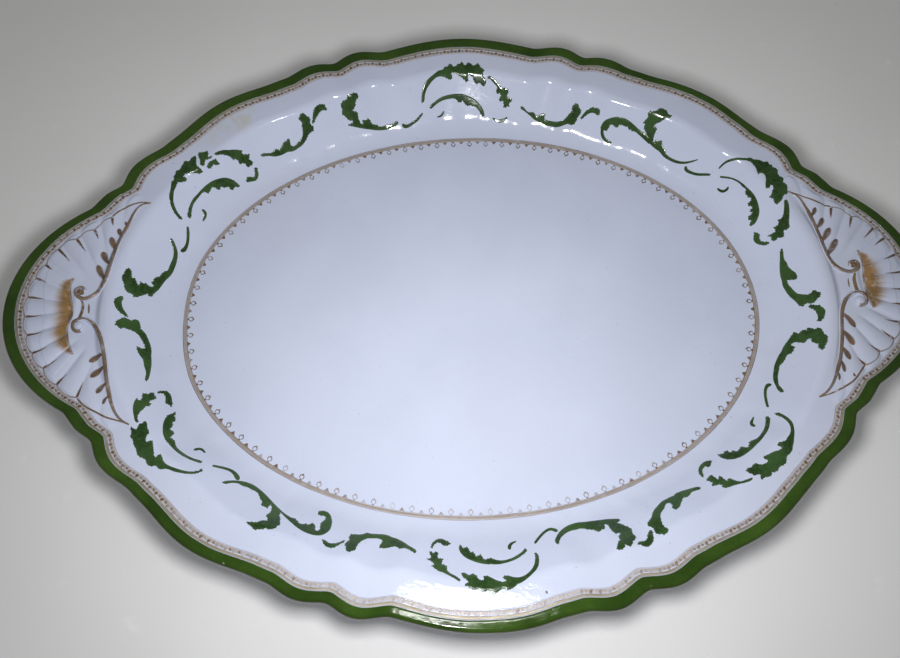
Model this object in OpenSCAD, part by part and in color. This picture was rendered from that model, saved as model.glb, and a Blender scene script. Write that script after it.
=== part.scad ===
// Oval serving platter with a lobed edge and a shell handle at each end.
// Origin: centre of the oval, on the surface it stands on. +X to the right
// shell, +Y to the far side, +Z up. Millimetres.

/* [Overall size] */
// Length over the two shell handles
length = 421.6; // [404:0.2:440]
// Width over the lobes of the two long sides
width = 287.6; // [278:0.2:300]
// How far a shell handle stands out from the oval
handle_reach = 28; // [24:1:30]

/* [Well] */
// Length of the gilt line round the well
well_length = 277; // [268:1:284]
// Width of the gilt line round the well
well_width = 194; // [186:1:200]
// Height of the floor of the well above the lower face of the foot
floor_z = 8; // [7.5:0.5:10]
// Steepest angle of the cove
cove_angle = 44.5; // [38:0.5:48]

/* [Flange] */
// Slope of the flange next to the shoulder
flange_angle = 8; // [6:1:12]
// Rise of the flange from the shoulder to the edge
flange_rise = 2.4; // [1.6:0.2:3.2]
// How deep the notches between the lobes run down, in height
notch_dip = 0.6; // [0:0.1:1]

/* [Clay] */
// Thickness of the dish
wall = 4.8; // [4.2:0.1:5.2]
// Thickness at the rolled edge
edge_t = 4.2; // [3.8:0.1:4.8]

/* [Foot] */
// Width of the foot ring
foot_w = 5; // [4:0.5:7]
// How far the foot ring stands inside the gilt line
foot_inset = 8; // [7:0.5:20]

/* [Shell handles] */
// Depth of the hollow at the root of a shell
shell_depth = 2.2; // [1:0.1:2.6]
// Height of the flutes of a shell
flute_h = 0.7; // [0.3:0.1:0.9]
// Number of flutes in a shell
flutes = 13; // [9:2:15]
// Height of the scroll arms
arm_h = 1.8; // [1:0.1:2.4]

/* [Decoration] */
// Width of the green band on the flange
band_w = 5.8; // [4:0.2:7]
// Width of the gilt lace
lace_w = 3.6; // [2:0.2:4]
// Thickness of the enamel
enamel = 0.2; // [0.15:0.05:0.3]
// Thickness of the gilding and of the prints
print_t = 0.15; // [0.1:0.05:0.25]
// Width of the gilt line round the well
line_w = 1.5; // [1:0.1:2]
// Number of gilt loops round the well
loops = 86; // [60:2:100]

/* [Hidden] */

n_cols = 192;          // columns round the oval
step = 360 / n_cols;   // degrees between columns
h_end = 11;            // column at which a shell handle ends

// Lobes of the edge in one quarter: [centre in degrees, height, half width in degrees]
lobes = [[18, 4, 2.9], [24.2, 3.2, 5.4], [41.5, 2.6, 9.6],
         [59, 2.4, 5.3], [68.6, 3.4, 5.8], [90, 4.8, 20]];
// Places where the hand-trimmed edge stands out beyond the regular lobes: the same, once each
uneven = [[287.5, 1.2, 7], [277, 0.5, 8], [306, 1, 15], [329, 0.9, 7], [24, 1.2, 8], [34, 1.1, 9]];
// Notches of the edge in one quarter, in degrees
notches = [21, 63.6];

a_base = length / 2 - handle_reach;
b_base = width / 2 - 4.8;
a_well = well_length / 2;
b_well = well_width / 2;

// Profile of the dish, along d, the distance out from the gilt line of the well
d_floor = -2.5;
d_cove = 11;
d_steep = 24;
d_shoulder = 28;
d_joint = 29;          // line on which a shell handle meets the dish
r_cove = (d_cove - d_floor) / sin(cove_angle);
r_shoulder = (d_shoulder - d_steep) / (sin(cove_angle) - sin(flange_angle));
z_cove = floor_z + r_cove * (1 - cos(cove_angle));
z_steep = z_cove + (d_steep - d_cove) * tan(cove_angle);
dc_shoulder = d_steep + r_shoulder * sin(cove_angle);
zc_shoulder = z_steep - r_shoulder * cos(cove_angle);
z_shoulder = zc_shoulder + r_shoulder * cos(flange_angle);
z_rim = z_shoulder + flange_rise;
e_cove = d_floor + (r_cove + wall) * sin(cove_angle);
e_steep = d_steep + wall * sin(cove_angle);
e_shoulder = dc_shoulder - (r_shoulder - wall) * sin(flange_angle);

function sq(x) = x * x;
function bell(u) = abs(u) < 1 ? sq(1 - u * u) : 0;
function blend(u) = u <= 0 ? 0 : u >= 1 ? 1 : u * u * (3 - 2 * u);
function oval(a, b, t) = 1 / sqrt(sq(cos(t) / a) + sq(sin(t) / b));
function fold(t) = let (m = abs(t) % 180) min(m, 180 - m);
function swell(x) = (x + sqrt(x * x + 6)) / 2;

// Radius of the edge, and of the gilt line, at angle t
function r_edge(t) = let (f = fold(t), g = (t % 360 + 360) % 360)
    oval(a_base, b_base, t) + swell(handle_reach * (1 - sq(f / 17.5)))
    + sum([for (l = lobes) l[1] * bell((f - l[0]) / l[2])])
    + sum([for (l = uneven) l[1] * bell((g - l[0]) / l[2])]);
function sum(v, i = 0) = i >= len(v) ? 0 : v[i] + sum(v, i + 1);
function r_well(t) = oval(a_well, b_well, t);
function d_edge(t) = r_edge(t) - r_well(t);

// Height of the upper face at angle t, distance d
function z_top(t, d) =
    d <= d_floor ? floor_z :
    d <= d_cove ? floor_z + r_cove - sqrt(sq(r_cove) - sq(d - d_floor)) :
    d <= d_steep ? z_cove + (d - d_cove) * tan(cove_angle) :
    d <= d_shoulder ? zc_shoulder + sqrt(sq(r_shoulder) - sq(dc_shoulder - d)) :
    let (f = fold(t), k = (d - d_shoulder) / (d_edge(t) - d_shoulder))
        z_shoulder + flange_rise * k
        - notch_dip * k * sum([for (n = notches) bell((f - n) / 3)]);

// Height of the underside
function z_under(t, d) =
    d <= d_floor ? floor_z - wall :
    d <= e_cove ? floor_z + r_cove - sqrt(sq(r_cove + wall) - sq(d - d_floor)) :
    d <= e_steep ? floor_z + r_cove - (r_cove + wall) * cos(cove_angle) + (d - e_cove) * tan(cove_angle) :
    d <= e_shoulder ? zc_shoulder + sqrt(sq(r_shoulder - wall) - sq(dc_shoulder - d)) :
    let (k = (d - e_shoulder) / (d_edge(t) - e_shoulder))
        z_top(t, d) - wall / cos(flange_angle) * (1 - k) - edge_t * k;

// Hollow and flutes of a shell, taken from the upper face; the root lies on the arms
function root_x() = a_well + d_joint + 3;
function shell_cut(t, d) =
    let (r = r_well(t) + d, x = abs(r * cos(t)) - root_x(), y = r * sin(t),
         k = (d - d_joint) / (d_edge(t) - 11 - d_joint), a = atan2(y, x))
    k <= 0 || k >= 1 ? 0 :
    shell_depth * sq(1 - k) * blend((d - d_joint) / 3)
    - flute_h * sin(180 * k) * cos(a * flutes * 360 / 2 / 190);
function z_shell(t, d) = z_top(t, d) - shell_cut(t, d);

function pt(t, d, z) = let (r = r_well(t) + d) [r * cos(t), r * sin(t), z];

// One closed skin from rows of points round the oval, with a middle point at each end
function ring_faces(m, n) = concat(
    [for (i = [0:m - 2], j = [0:n - 1]) let (k = (j + 1) % n)
        [i * n + j, i * n + k, (i + 1) * n + k, (i + 1) * n + j]],
    [for (j = [0:n - 1]) [m * n, (j + 1) % n, j]],
    [for (j = [0:n - 1]) [m * n + 1, (m - 1) * n + j, (m - 1) * n + (j + 1) % n]]);
// One closed hoop from a closed section of m points carried round the oval
function hoop_faces(m, n) =
    [for (j = [0:n - 1], i = [0:m - 1]) let (k = (j + 1) % n, q = (i + 1) % m)
        [i + m * j, i + m * k, q + m * k, q + m * j]];

// A thin ribbon of n four-cornered sections, split the same way above and below
function ribbon_faces(n) = concat(
    [for (i = [0:n - 2]) let (a = i * 4, b = a + 4)
        each [[a, a + 1, b + 1], [a, b + 1, b],
              [a + 3, b + 3, b + 2], [a + 3, b + 2, a + 2],
              [a + 1, a + 2, b + 2], [a + 1, b + 2, b + 1],
              [a + 3, a, b], [a + 3, b, b + 3]]],
    [[3, 2, 1], [3, 1, 0]],
    let (e = n * 4 - 4) [[e, e + 1, e + 2], [e, e + 2, e + 3]]);

// ---- clay ---------------------------------------------------------------

function body_d(j) = let (f = fold(j * step)) f < (h_end - 0.5) * step ? d_joint : d_edge(j * step);
function body_section(j) =
    let (t = j * step, e = body_d(j), s = e < d_joint + 0.1,
         w = e - d_shoulder, z = z_top(t, e))
    concat(
        [for (d = [d_floor, 1, 6, d_cove, d_steep, 26, d_shoulder]) [d, z_top(t, d)]],
        s ? [for (k = [0.4, 0.8]) [d_shoulder + k * w, z_top(t, d_shoulder + k * w)]]
          : [for (k = [band_w, 1.8]) [e - k, z_top(t, e - k)]],
        s ? [for (k = [0, 0.5, 1]) [e, (1 - k) * z_top(t, e) + k * z_under(t, e)]]
          : [[e - 0.5, z - 0.6], [e, z - edge_t / 2], [e - 0.5, z - edge_t + 0.6]],
        [s ? [e - 0.15, z_under(t, e - 0.15)] : [e - 1.8, z - edge_t]],
        [for (d = [e_shoulder - 0.2, e_steep, 20, e_cove, 6, d_floor]) [d, z_under(t, d)]]);

module dish_body() {
    secs = [for (j = [0:n_cols - 1]) body_section(j)];
    m = len(secs[0]);
    color([0.93, 0.94, 0.95])
    polyhedron(
        points = concat(
            [for (i = [0:m - 1], j = [0:n_cols - 1]) pt(j * step, secs[j][i][0], secs[j][i][1])],
            [[0, 0, floor_z], [0, 0, floor_z - wall]]),
        faces = ring_faces(m, n_cols), convexity = 6);
}

function oval_points(a, b, n) = [for (j = [0:n - 1]) let (t = 360 * j / n) [a * cos(t), b * sin(t)]];
module foot_ring() {
    color([0.88, 0.86, 0.8])
    linear_extrude(height = floor_z - wall)
    difference() {
        polygon(oval_points(a_well - foot_inset, b_well - foot_inset, 96));
        polygon(oval_points(a_well - foot_inset - foot_w, b_well - foot_inset - foot_w, 96));
    }
}

// A shell handle: closed section at each half column, and a pointed end at each tip
h_cols = 4 * (h_end - 1) + 1;
function handle_t(i) = (i / 2 - h_end + 1) * step;
function handle_section(t) =
    let (e = d_edge(t), z = z_top(t, e), w = e - 11 - d_joint, zj = z_top(t, d_joint))
    concat(
        [for (k = [0, 0.1, 0.25, 0.45, 0.7, 0.9]) [d_joint + k * w, z_shell(t, d_joint + k * w)]],
        [for (k = [11, band_w, 1.8]) [e - k, z_top(t, e - k)]],
        [[e - 0.5, z - 0.6], [e, z - edge_t / 2], [e - 0.5, z - edge_t + 0.6], [e - 1.8, z - edge_t]],
        [for (k = [0.7, 0.35, 0]) [d_joint + k * w, z_under(t, d_joint + k * w)]]);
module shell_handle(c) {
    n = h_cols;
    secs = [for (i = [0:n - 1]) handle_section(c + handle_t(i))];
    m = len(secs[0]);
    top = 9;
    tip = h_end * step;
    color([0.95, 0.95, 0.96])
    polyhedron(
        points = concat(
            [for (i = [0:n - 1], q = [0:m - 1]) pt(c + handle_t(i), secs[i][q][0], secs[i][q][1])],
            [for (s = [-1, 1]) let (t = c + s * tip, e = d_edge(t), z = z_top(t, e))
                each [pt(t, e - 0.3, z - 0.8), pt(t, e - 0.3, z - edge_t + 0.6)]]),
        faces = concat(
            [for (i = [0:n - 2], q = [0:m - 1]) let (p = (q + 1) % m)
                [i * m + q, i * m + p, (i + 1) * m + p, (i + 1) * m + q]],
            // lower tip
            [for (q = [0:top]) [q + 1, q, n * m]],
            [[top + 1, n * m, n * m + 1]],
            [for (q = [top + 1:m - 2]) [q + 1, q, n * m + 1]],
            [[0, m - 1, n * m + 1, n * m]],
            // upper tip
            [for (q = [0:top]) [(n - 1) * m + q, (n - 1) * m + q + 1, n * m + 2]],
            [[n * m + 2, (n - 1) * m + top + 1, n * m + 3]],
            [for (q = [top + 1:m - 2]) [(n - 1) * m + q, (n - 1) * m + q + 1, n * m + 3]],
            [[(n - 1) * m + m - 1, (n - 1) * m, n * m + 2, n * m + 3]]),
        convexity = 4);
}
module right_shell_handle() { shell_handle(0); }
module left_shell_handle() { shell_handle(180); }

// A scroll arm: runs along the joint from its tip and curls into a volute.
// Path points are [x, y, half width, height].
arm_n = 26;
function arm_point(i) =
    let (k = i / arm_n)
    k < 0.5 ? let (q = k / 0.5, t = 19 - 15 * q, r = r_well(t) + 28.6 + 3.4 * sin(180 * q))
                 [r * cos(t), r * sin(t), 0.5 + 0.6 * sin(90 * q), arm_h * (0.35 + 0.5 * q)]
            : let (q = (k - 0.5) / 0.5, a = 157 + 343 * q, r = 1.7 + 9.7 * pow(1 - q, 4))
                 [a_well + 39 + r * cos(a), 7.4 + r * sin(a), 1.1 - 0.45 * q, arm_h * (0.85 + 0.3 * q)];
module scroll_arm() {
    p = [for (i = [0:arm_n]) arm_point(i)];
    function dir(i) = let (u = [for (q = [0, 1]) p[min(i + 1, arm_n)][q] - p[max(i - 1, 0)][q]]) u / norm(u);
    function base(x, y) = let (t = atan2(y, x)) z_top(t, norm([x, y]) - r_well(t));
    m = 6;
    sec = [[-1, -0.6], [-1, 0], [-0.6, 0.75], [0.6, 0.75], [1, 0], [1, -0.6]];
    polyhedron(
        points = [for (i = [0:arm_n]) let (u = dir(i), v = [-u[1], u[0]], b = base(p[i][0], p[i][1]) - shell_depth * 0.35)
                  each [for (s = sec) [p[i][0] + v[0] * s[0] * p[i][2], p[i][1] + v[1] * s[0] * p[i][2],
                                       b + (s[1] < 0 ? -1 : s[1] * p[i][3] + 0.4)]]],
        faces = concat(
            [for (i = [0:arm_n - 1], q = [0:m - 1]) let (w = (q + 1) % m)
                [i * m + q, i * m + w, (i + 1) * m + w, (i + 1) * m + q]],
            [[for (q = [m - 1:-1:0]) q], [for (q = [0:m - 1]) arm_n * m + q]]),
        convexity = 6);
}
module scroll_moulding() {
    color([0.95, 0.95, 0.96]) { scroll_arm(); mirror([0, 1, 0]) scroll_arm(); }
}
module right_scroll_moulding() { scroll_moulding(); }
module left_scroll_moulding() { rotate([0, 0, 180]) scroll_moulding(); }

// ---- enamel and gilding -------------------------------------------------

module green_edge_band() {
    function sec(t) = let (e = d_edge(t), z = z_top(t, e), c = 0.7 * enamel)
        [[e - band_w, z_top(t, e - band_w)], [e - 1.8, z_top(t, e - 1.8)], [e - 0.5, z - 0.6], [e, z - edge_t / 2],
         [e + enamel, z - edge_t / 2], [e - 0.5 + c, z - 0.6 + c], [e - 1.8, z_top(t, e - 1.8) + enamel],
         [e - band_w, z_top(t, e - band_w) + enamel]];
    color([0.22, 0.29, 0.13])
    polyhedron(points = [for (j = [0:n_cols - 1]) each [for (s = sec(j * step)) pt(j * step, s[0], s[1])]],
               faces = hoop_faces(8, n_cols), convexity = 6);
}

module strip(d0, d1, n, from_edge) {
    function sec(t) = let (e = from_edge ? d_edge(t) : 0)
        [[e + d0, z_top(t, e + d0) - 0.03], [e + d1, z_top(t, e + d1) - 0.03],
         [e + d1, z_top(t, e + d1) + print_t], [e + d0, z_top(t, e + d0) + print_t]];
    polyhedron(points = [for (j = [0:n - 1]) let (t = 360 * j / n) each [for (s = sec(t)) pt(t, s[0], s[1])]],
               faces = hoop_faces(4, n), convexity = 6);
}
module gilt_edge_lace() { color([0.66, 0.56, 0.42]) strip(-band_w - 0.3 - lace_w, -band_w - 0.3, n_cols, true); }
module gilt_well_line() { color([0.55, 0.42, 0.28]) strip(-line_w / 2, line_w / 2, 96, false); }

// Equal steps along the oval of the loops
function well_pos(k) = let (t = 360 * k / loops, u = t + 4.6 * sin(2 * t)) u;
module gilt_well_loops() {
    color([0.55, 0.42, 0.28])
    for (k = [0:loops - 1]) {
        t = well_pos(k);
        t2 = well_pos(k + 0.5);
        translate(pt(t, -3.6, floor_z - 0.05)) difference() {
            cylinder(r = 1.5, h = 0.4, $fn = 24);
            translate([0, 0, -1]) cylinder(r = 1, h = 3, $fn = 24);
        }
        translate(pt(t2, -2.2, floor_z - 0.05)) rotate([0, 0, t2 + 180]) cylinder(r = 1.3, h = 0.6, $fn = 3);
    }
}

// ---- leaf prints --------------------------------------------------------
// Strokes are drawn in rim coordinates: u, millimetres clockwise along the rim from
// the middle of the strip, and d, millimetres out from the gilt line; then half width.

cluster = [
    [[-20, 16, 0.4], [-18, 21, 0.6], [-12, 26, 1], [-4, 27.5, 2.6], [4, 27, 3.2], [10, 24, 2.6], [13, 21, 0.6]],
    [[14.5, 24, 0.4], [18, 22, 1.2], [22, 18, 2.2], [24, 13, 1.4]],
    [[16, 9.5, 0.3], [20, 7.5, 0.7], [24, 9, 0.4]],
    [[-17, 14, 0.4], [-9, 17, 0.8], [0, 18, 1.4], [6, 17, 1.5], [10, 14, 0.6]],
    [[-12, 10, 0.4], [-10, 11, 0.6], [-8.5, 12.5, 0.4]]];
spray_a = [
    [[31, 14, 0.4], [37, 11, 0.7], [44, 9.5, 1], [52, 10, 1], [57, 12, 1.8], [60, 16, 2.2], [61, 19, 0.6]],
    [[64, 15, 0.4], [67.5, 18, 0.9], [72, 18, 0.4]]];
spray_short = [
    [[78, 24, 0.6], [76, 20, 2.2], [79, 16, 2.4], [86, 13, 1.4], [94, 12, 0.9], [102, 15, 0.4]],
    [[103, 12, 0.6], [108, 13, 0.5], [114, 17, 0.4]]];
spray_long = [
    [[86, 8, 0.4], [82, 11, 0.8], [84, 16, 1.2], [95, 16.5, 1.6], [107, 14.5, 1.2], [119, 12, 0.8], [129, 16, 0.4]],
    [[104, 16, 1], [104, 20, 2], [109, 25, 0.5]],
    [[127, 11, 0.6], [132, 10.5, 0.5], [138, 14, 0.4]]];

module stroke(c, s) {
    n = len(s);
    speed = norm([for (q = [0, 1]) (pt(c + 1, 16, 0) - pt(c - 1, 16, 0))[q]]) / 2;
    function arc_t(u) = c - u / speed * (1 - 0.0021 * u * sin(2 * c));
    function on(u, d, h) = let (t = arc_t(u)) pt(t, d, z_top(t, d) + h);
    function dir(i) = let (u = [for (q = [0, 1]) s[min(i + 1, n - 1)][q] - s[max(i - 1, 0)][q]]) u / norm(u);
    polyhedron(
        points = [for (i = [0:n - 1]) let (v = dir(i), l = [-v[1], v[0]] * s[i][2], p = [s[i][0], s[i][1]])
            each [on(p[0] + l[0], p[1] + l[1], -0.1), on(p[0] - l[0], p[1] - l[1], -0.1),
                  on(p[0] - l[0], p[1] - l[1], print_t), on(p[0] + l[0], p[1] + l[1], print_t)]],
        faces = ribbon_faces(n), convexity = 4);
}
module leaf_print(c, long) {
    color([0.17, 0.25, 0.11])
    for (s = concat(cluster, spray_a, long ? spray_long : spray_short)) stroke(c, s);
}
module leaf_print_top() { leaf_print(90, true); }
module leaf_print_upper_right() { leaf_print(18.5, false); }
module leaf_print_lower_right() { leaf_print(-34, false); }
module leaf_print_bottom() { leaf_print(-90, true); }
module leaf_print_lower_left() { leaf_print(-157, false); }
module leaf_print_upper_left() { leaf_print(152, false); }

// ---- gilding of the shells ----------------------------------------------

// A gilt stroke on the shell between points [t in degrees, d, half width in mm]
module gilt_stroke(s) {
    n = len(s);
    function xy(q) = let (r = r_well(q[0]) + q[1]) [r * cos(q[0]), r * sin(q[0])];
    function on(p, h) = let (t = atan2(p[1], p[0])) [p[0], p[1], z_shell(t, norm(p) - r_well(t)) + h];
    function dir(i) = let (u = xy(s[min(i + 1, n - 1)]) - xy(s[max(i - 1, 0)])) u / norm(u);
    polyhedron(
        points = [for (i = [0:n - 1]) let (v = dir(i), l = [-v[1], v[0]] * s[i][2], p = xy(s[i]))
            each [on(p + l, -0.15), on(p - l, -0.15), on(p - l, print_t + 0.05), on(p + l, print_t + 0.05)]],
        faces = ribbon_faces(n), convexity = 4);
}
ticks = 12;
module shell_gilding() {
    color([0.5, 0.4, 0.22]) {
        // line inside the lace, along the shell's edge
        gilt_stroke([for (t = [-17:1:17]) [t, d_edge(t) - 10.6, 0.35]]);
        // ticks between the flutes
        for (k = [0:ticks - 1]) let (t = -14 + 28 * k / (ticks - 1), e = d_edge(t))
            gilt_stroke([[t, e - 11.4, 0.35], [t * 0.985, e - 14, 0.3], [t * 0.96, e - 17, 0.1]]);
        // leaf strokes along each arm
        for (s = [-1, 1], k = [0:3]) let (t = s * (6.5 + 2.8 * k))
            gilt_stroke([[t, 33, 0.3], [t + s * 0.5, 35.5, 0.9], [t + s * 1.3, 38.5 - 0.8 * k, 0.2]]);
        // brushed patch at the root of the shell
        for (k = [-3:3]) let (t = k * 1.15)
            gilt_stroke([[t * 0.8, 42.4, 0.5], [t, 45, 0.9], [t * 1.25, 49.5 - 0.5 * abs(k), 0.3]]);
    }
}
module right_shell_gilding() { shell_gilding(); }
module left_shell_gilding() { rotate([0, 0, 180]) shell_gilding(); }

dish_body();
foot_ring();
left_shell_handle();
right_shell_handle();
left_scroll_moulding();
right_scroll_moulding();
green_edge_band();
gilt_edge_lace();
gilt_well_line();
gilt_well_loops();
leaf_print_top();
leaf_print_upper_right();
leaf_print_lower_right();
leaf_print_bottom();
leaf_print_lower_left();
leaf_print_upper_left();
left_shell_gilding();
right_shell_gilding();
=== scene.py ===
import math

import bmesh
import bpy
import numpy as np
from mathutils import Matrix, Vector
from mathutils.geometry import delaunay_2d_cdt


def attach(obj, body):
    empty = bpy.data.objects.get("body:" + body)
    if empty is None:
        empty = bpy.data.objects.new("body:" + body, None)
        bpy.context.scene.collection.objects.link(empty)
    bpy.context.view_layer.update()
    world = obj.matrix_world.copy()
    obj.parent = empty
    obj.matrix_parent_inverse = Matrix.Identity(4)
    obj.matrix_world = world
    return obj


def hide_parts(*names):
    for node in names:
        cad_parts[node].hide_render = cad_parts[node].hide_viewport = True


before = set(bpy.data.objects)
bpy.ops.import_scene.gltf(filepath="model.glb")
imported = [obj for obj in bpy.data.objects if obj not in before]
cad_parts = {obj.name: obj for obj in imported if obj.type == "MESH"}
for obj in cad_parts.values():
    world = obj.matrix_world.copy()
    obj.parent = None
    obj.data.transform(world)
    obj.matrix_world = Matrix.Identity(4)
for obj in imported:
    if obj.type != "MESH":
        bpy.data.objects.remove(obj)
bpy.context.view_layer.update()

# ---------------------------------------------------------------------------
# Form of the platter, in millimetres. t is the angle round the oval, d the
# distance out from the gilt line of the well.
# ---------------------------------------------------------------------------
A_BASE, B_BASE = 182.8, 139.0
A_WELL, B_WELL = 138.5, 97.0
LOBES = [(18, 4, 2.9), (24.2, 3.2, 5.4), (41.5, 2.6, 9.6), (59, 2.4, 5.3), (68.6, 3.4, 5.8), (90, 4.8, 20)]
# places where the hand-trimmed edge stands out beyond the regular lobes
UNEVEN = [(287.5, 1.2, 7), (277, 0.5, 8), (306, 1, 15), (329, 0.9, 7), (24, 1.2, 8), (34, 1.1, 9)]
NOTCHES = (21.0, 63.6)
REACH = 28.0
FLOOR_Z, WALL, EDGE_T = 8.0, 4.8, 4.2
D_FLOOR, D_COVE, D_STEEP, D_SHOULDER, D_JOINT = -2.5, 11.0, 24.0, 28.0, 29.0
SA, CA = math.sin(math.radians(44.5)), math.cos(math.radians(44.5))
SF, CF = math.sin(math.radians(8)), math.cos(math.radians(8))
R_COVE = (D_COVE - D_FLOOR) / SA
R_SHO = (D_SHOULDER - D_STEEP) / (SA - SF)
Z_COVE = FLOOR_Z + R_COVE * (1 - CA)
Z_STEEP = Z_COVE + (D_STEEP - D_COVE) * SA / CA
DC_SHO = D_STEEP + R_SHO * SA
ZC_SHO = Z_STEEP - R_SHO * CA
Z_SHO = ZC_SHO + R_SHO * CF
RISE = 2.4
E_COVE = D_FLOOR + (R_COVE + WALL) * SA
E_STEEP = D_STEEP + WALL * SA
E_SHO = DC_SHO - (R_SHO - WALL) * SF
BAND_W = 5.8
LIP_R = 1.8
T_END = 20.0          # angle at which a shell handle ends
FAN_X = 163.0         # point from which the flutes of a shell spread
FLUTE = 14.0          # degrees between flutes
TAU = 2 * math.pi


def bell(u):
    return np.where(np.abs(u) < 1, 1 - u * u, 0.0) ** 2


def smooth(u):
    u = np.clip(u, 0, 1)
    return u * u * (3 - 2 * u)


def oval(a, b, t):
    return 1 / np.sqrt((np.cos(t) / a) ** 2 + (np.sin(t) / b) ** 2)


def fold(t):
    m = np.abs(np.degrees(t)) % 180
    return np.minimum(m, 180 - m)


def lobe_sum(f):
    return sum(h * bell((f - c) / w) for c, h, w in LOBES)


def uneven(t):
    a = np.degrees(t) % 360
    return sum(h * bell((a - c) / w) for c, h, w in UNEVEN)


def r_edge(t):
    f = fold(t)
    x = REACH * (1 - (f / 17.5) ** 2)
    return oval(A_BASE, B_BASE, t) + (x + np.sqrt(x * x + 6)) / 2 + lobe_sum(f) + uneven(t)


def r_well(t):
    return oval(A_WELL, B_WELL, t)


def d_edge(t):
    return r_edge(t) - r_well(t)


def profile(d):
    """Height of the cove and shoulder, without the flange."""
    return np.where(
        d <= D_FLOOR, FLOOR_Z,
        np.where(d <= D_COVE, FLOOR_Z + R_COVE - np.sqrt(np.maximum(R_COVE ** 2 - (d - D_FLOOR) ** 2, 0)),
                 np.where(d <= D_STEEP, Z_COVE + (d - D_COVE) * SA / CA,
                          ZC_SHO + np.sqrt(np.maximum(R_SHO ** 2 - (DC_SHO - np.minimum(d, D_SHOULDER)) ** 2, 0)))))


def wave(t, d):
    """Slow unevenness of pressed clay, up to a tenth of a millimetre in the cove."""
    x, y = (r_well(t) + d) * np.cos(t), (r_well(t) + d) * np.sin(t)
    w = (np.sin(x * 0.071 + 1.3 * np.sin(y * 0.043)) * np.sin(y * 0.083 + 0.7)
         + 0.6 * np.sin(x * 0.19 + y * 0.11 + 1.1) * np.sin(y * 0.17 - x * 0.07))
    ripple = np.sin(44 * t + 1.3 * np.sin(7 * t + 0.4) + 0.05 * d) + 0.7 * np.sin(71 * t + 2.0 * np.sin(5 * t) - 0.09 * d)
    return 0.035 * w + 0.085 * ripple * smooth((d - 1) / 6) * (1 - smooth((d - 12) / 8))


def z_top(t, d):
    f = fold(t)
    D = d_edge(t)
    # the shoulder follows the lobes of the edge
    shift = 0.82 * (lobe_sum(f) + uneven(t) - 2.2) * smooth((f - 21) / 6)
    dd = d - shift * smooth((d - 2) / 25) * (1 - smooth((d - 29) / np.maximum(D - 31, 2)))
    k = np.clip((dd - D_SHOULDER) / (D - D_SHOULDER), 0, 1.2)
    notch = sum(bell((f - n) / 3) for n in NOTCHES)
    return profile(dd) + (RISE - 0.6 * notch) * k + wave(t, d)


def z_under(t, d):
    D = d_edge(t)
    k = np.clip((d - E_SHO) / (D - E_SHO), 0, 1)
    upper = profile(d) + RISE * np.clip((d - D_SHOULDER) / (D - D_SHOULDER), 0, 1.2)
    z = np.where(
        d <= D_FLOOR, FLOOR_Z - WALL,
        np.where(d <= E_COVE, FLOOR_Z + R_COVE - np.sqrt(np.maximum((R_COVE + WALL) ** 2 - (d - D_FLOOR) ** 2, 0)),
                 np.where(d <= E_STEEP, FLOOR_Z + R_COVE - (R_COVE + WALL) * CA + (d - E_COVE) * SA / CA,
                          np.where(d <= E_SHO, ZC_SHO + np.sqrt(np.maximum((R_SHO - WALL) ** 2 - (DC_SHO - np.minimum(d, E_SHO)) ** 2, 0)),
                                   upper - WALL / CF * (1 - k) - EDGE_T * k))))
    return z


def shell_relief(t, d):
    """What a shell adds to the flange: hollow, flutes with round ends and the roll at its root."""
    r = r_well(t) + d
    x, y = np.abs(r * np.cos(t)), r * np.sin(t) * np.sign(np.cos(t))
    D = d_edge(t)
    s = D - d
    phi = np.degrees(np.arctan2(y, x - FAN_X))
    rho = np.hypot(x - FAN_X, y)
    q = np.abs(((phi / FLUTE + 0.5) % 1.0) - 0.5) * 2          # 0 on a flute, 1 in the groove between
    flute = 1 - q ** 2.2
    end = smooth((s - 9.2 - 1.5 * q ** 3) / 2.6)
    start = smooth((rho - 18.5) / 10)
    side = smooth((d - D_JOINT - 3.4) / 6)
    k = np.clip((d - D_JOINT) / np.maximum(D - 11 - D_JOINT, 1), 0, 1)
    hollow = 2.1 * (1 - k) ** 2 * smooth((d - D_JOINT - 0.3) / 3.5) * smooth((17.6 - fold(t)) / 7)
    roll = 0.8 * bell((x - 179.3 - 0.012 * y * y) / 2.4) * smooth((10.5 - np.abs(y)) / 4)
    return -hollow + (0.95 * flute - 0.15) * end * start * side + roll


def z_shell(t, d):
    inside = (fold(t) < T_END) & (d > D_JOINT)
    return z_top(t, d) + np.where(inside, shell_relief(t, d), 0.0)


def polar(X, Y):
    t = np.arctan2(Y, X)
    return t, np.hypot(X, Y) - r_well(t)


def z_xy(X, Y):
    return z_shell(*polar(X, Y))


def point(t, d, z):
    r = r_well(t) + d
    return np.stack([r * np.cos(t), r * np.sin(t), z], -1)


def surface_normal(X, Y, h=0.05):
    zx = (z_xy(X + h, Y) - z_xy(X - h, Y)) / (2 * h)
    zy = (z_xy(X, Y + h) - z_xy(X, Y - h)) / (2 * h)
    n = np.stack([-zx, -zy, np.ones_like(zx)], -1)
    return n / np.linalg.norm(n, axis=-1, keepdims=True)


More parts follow.
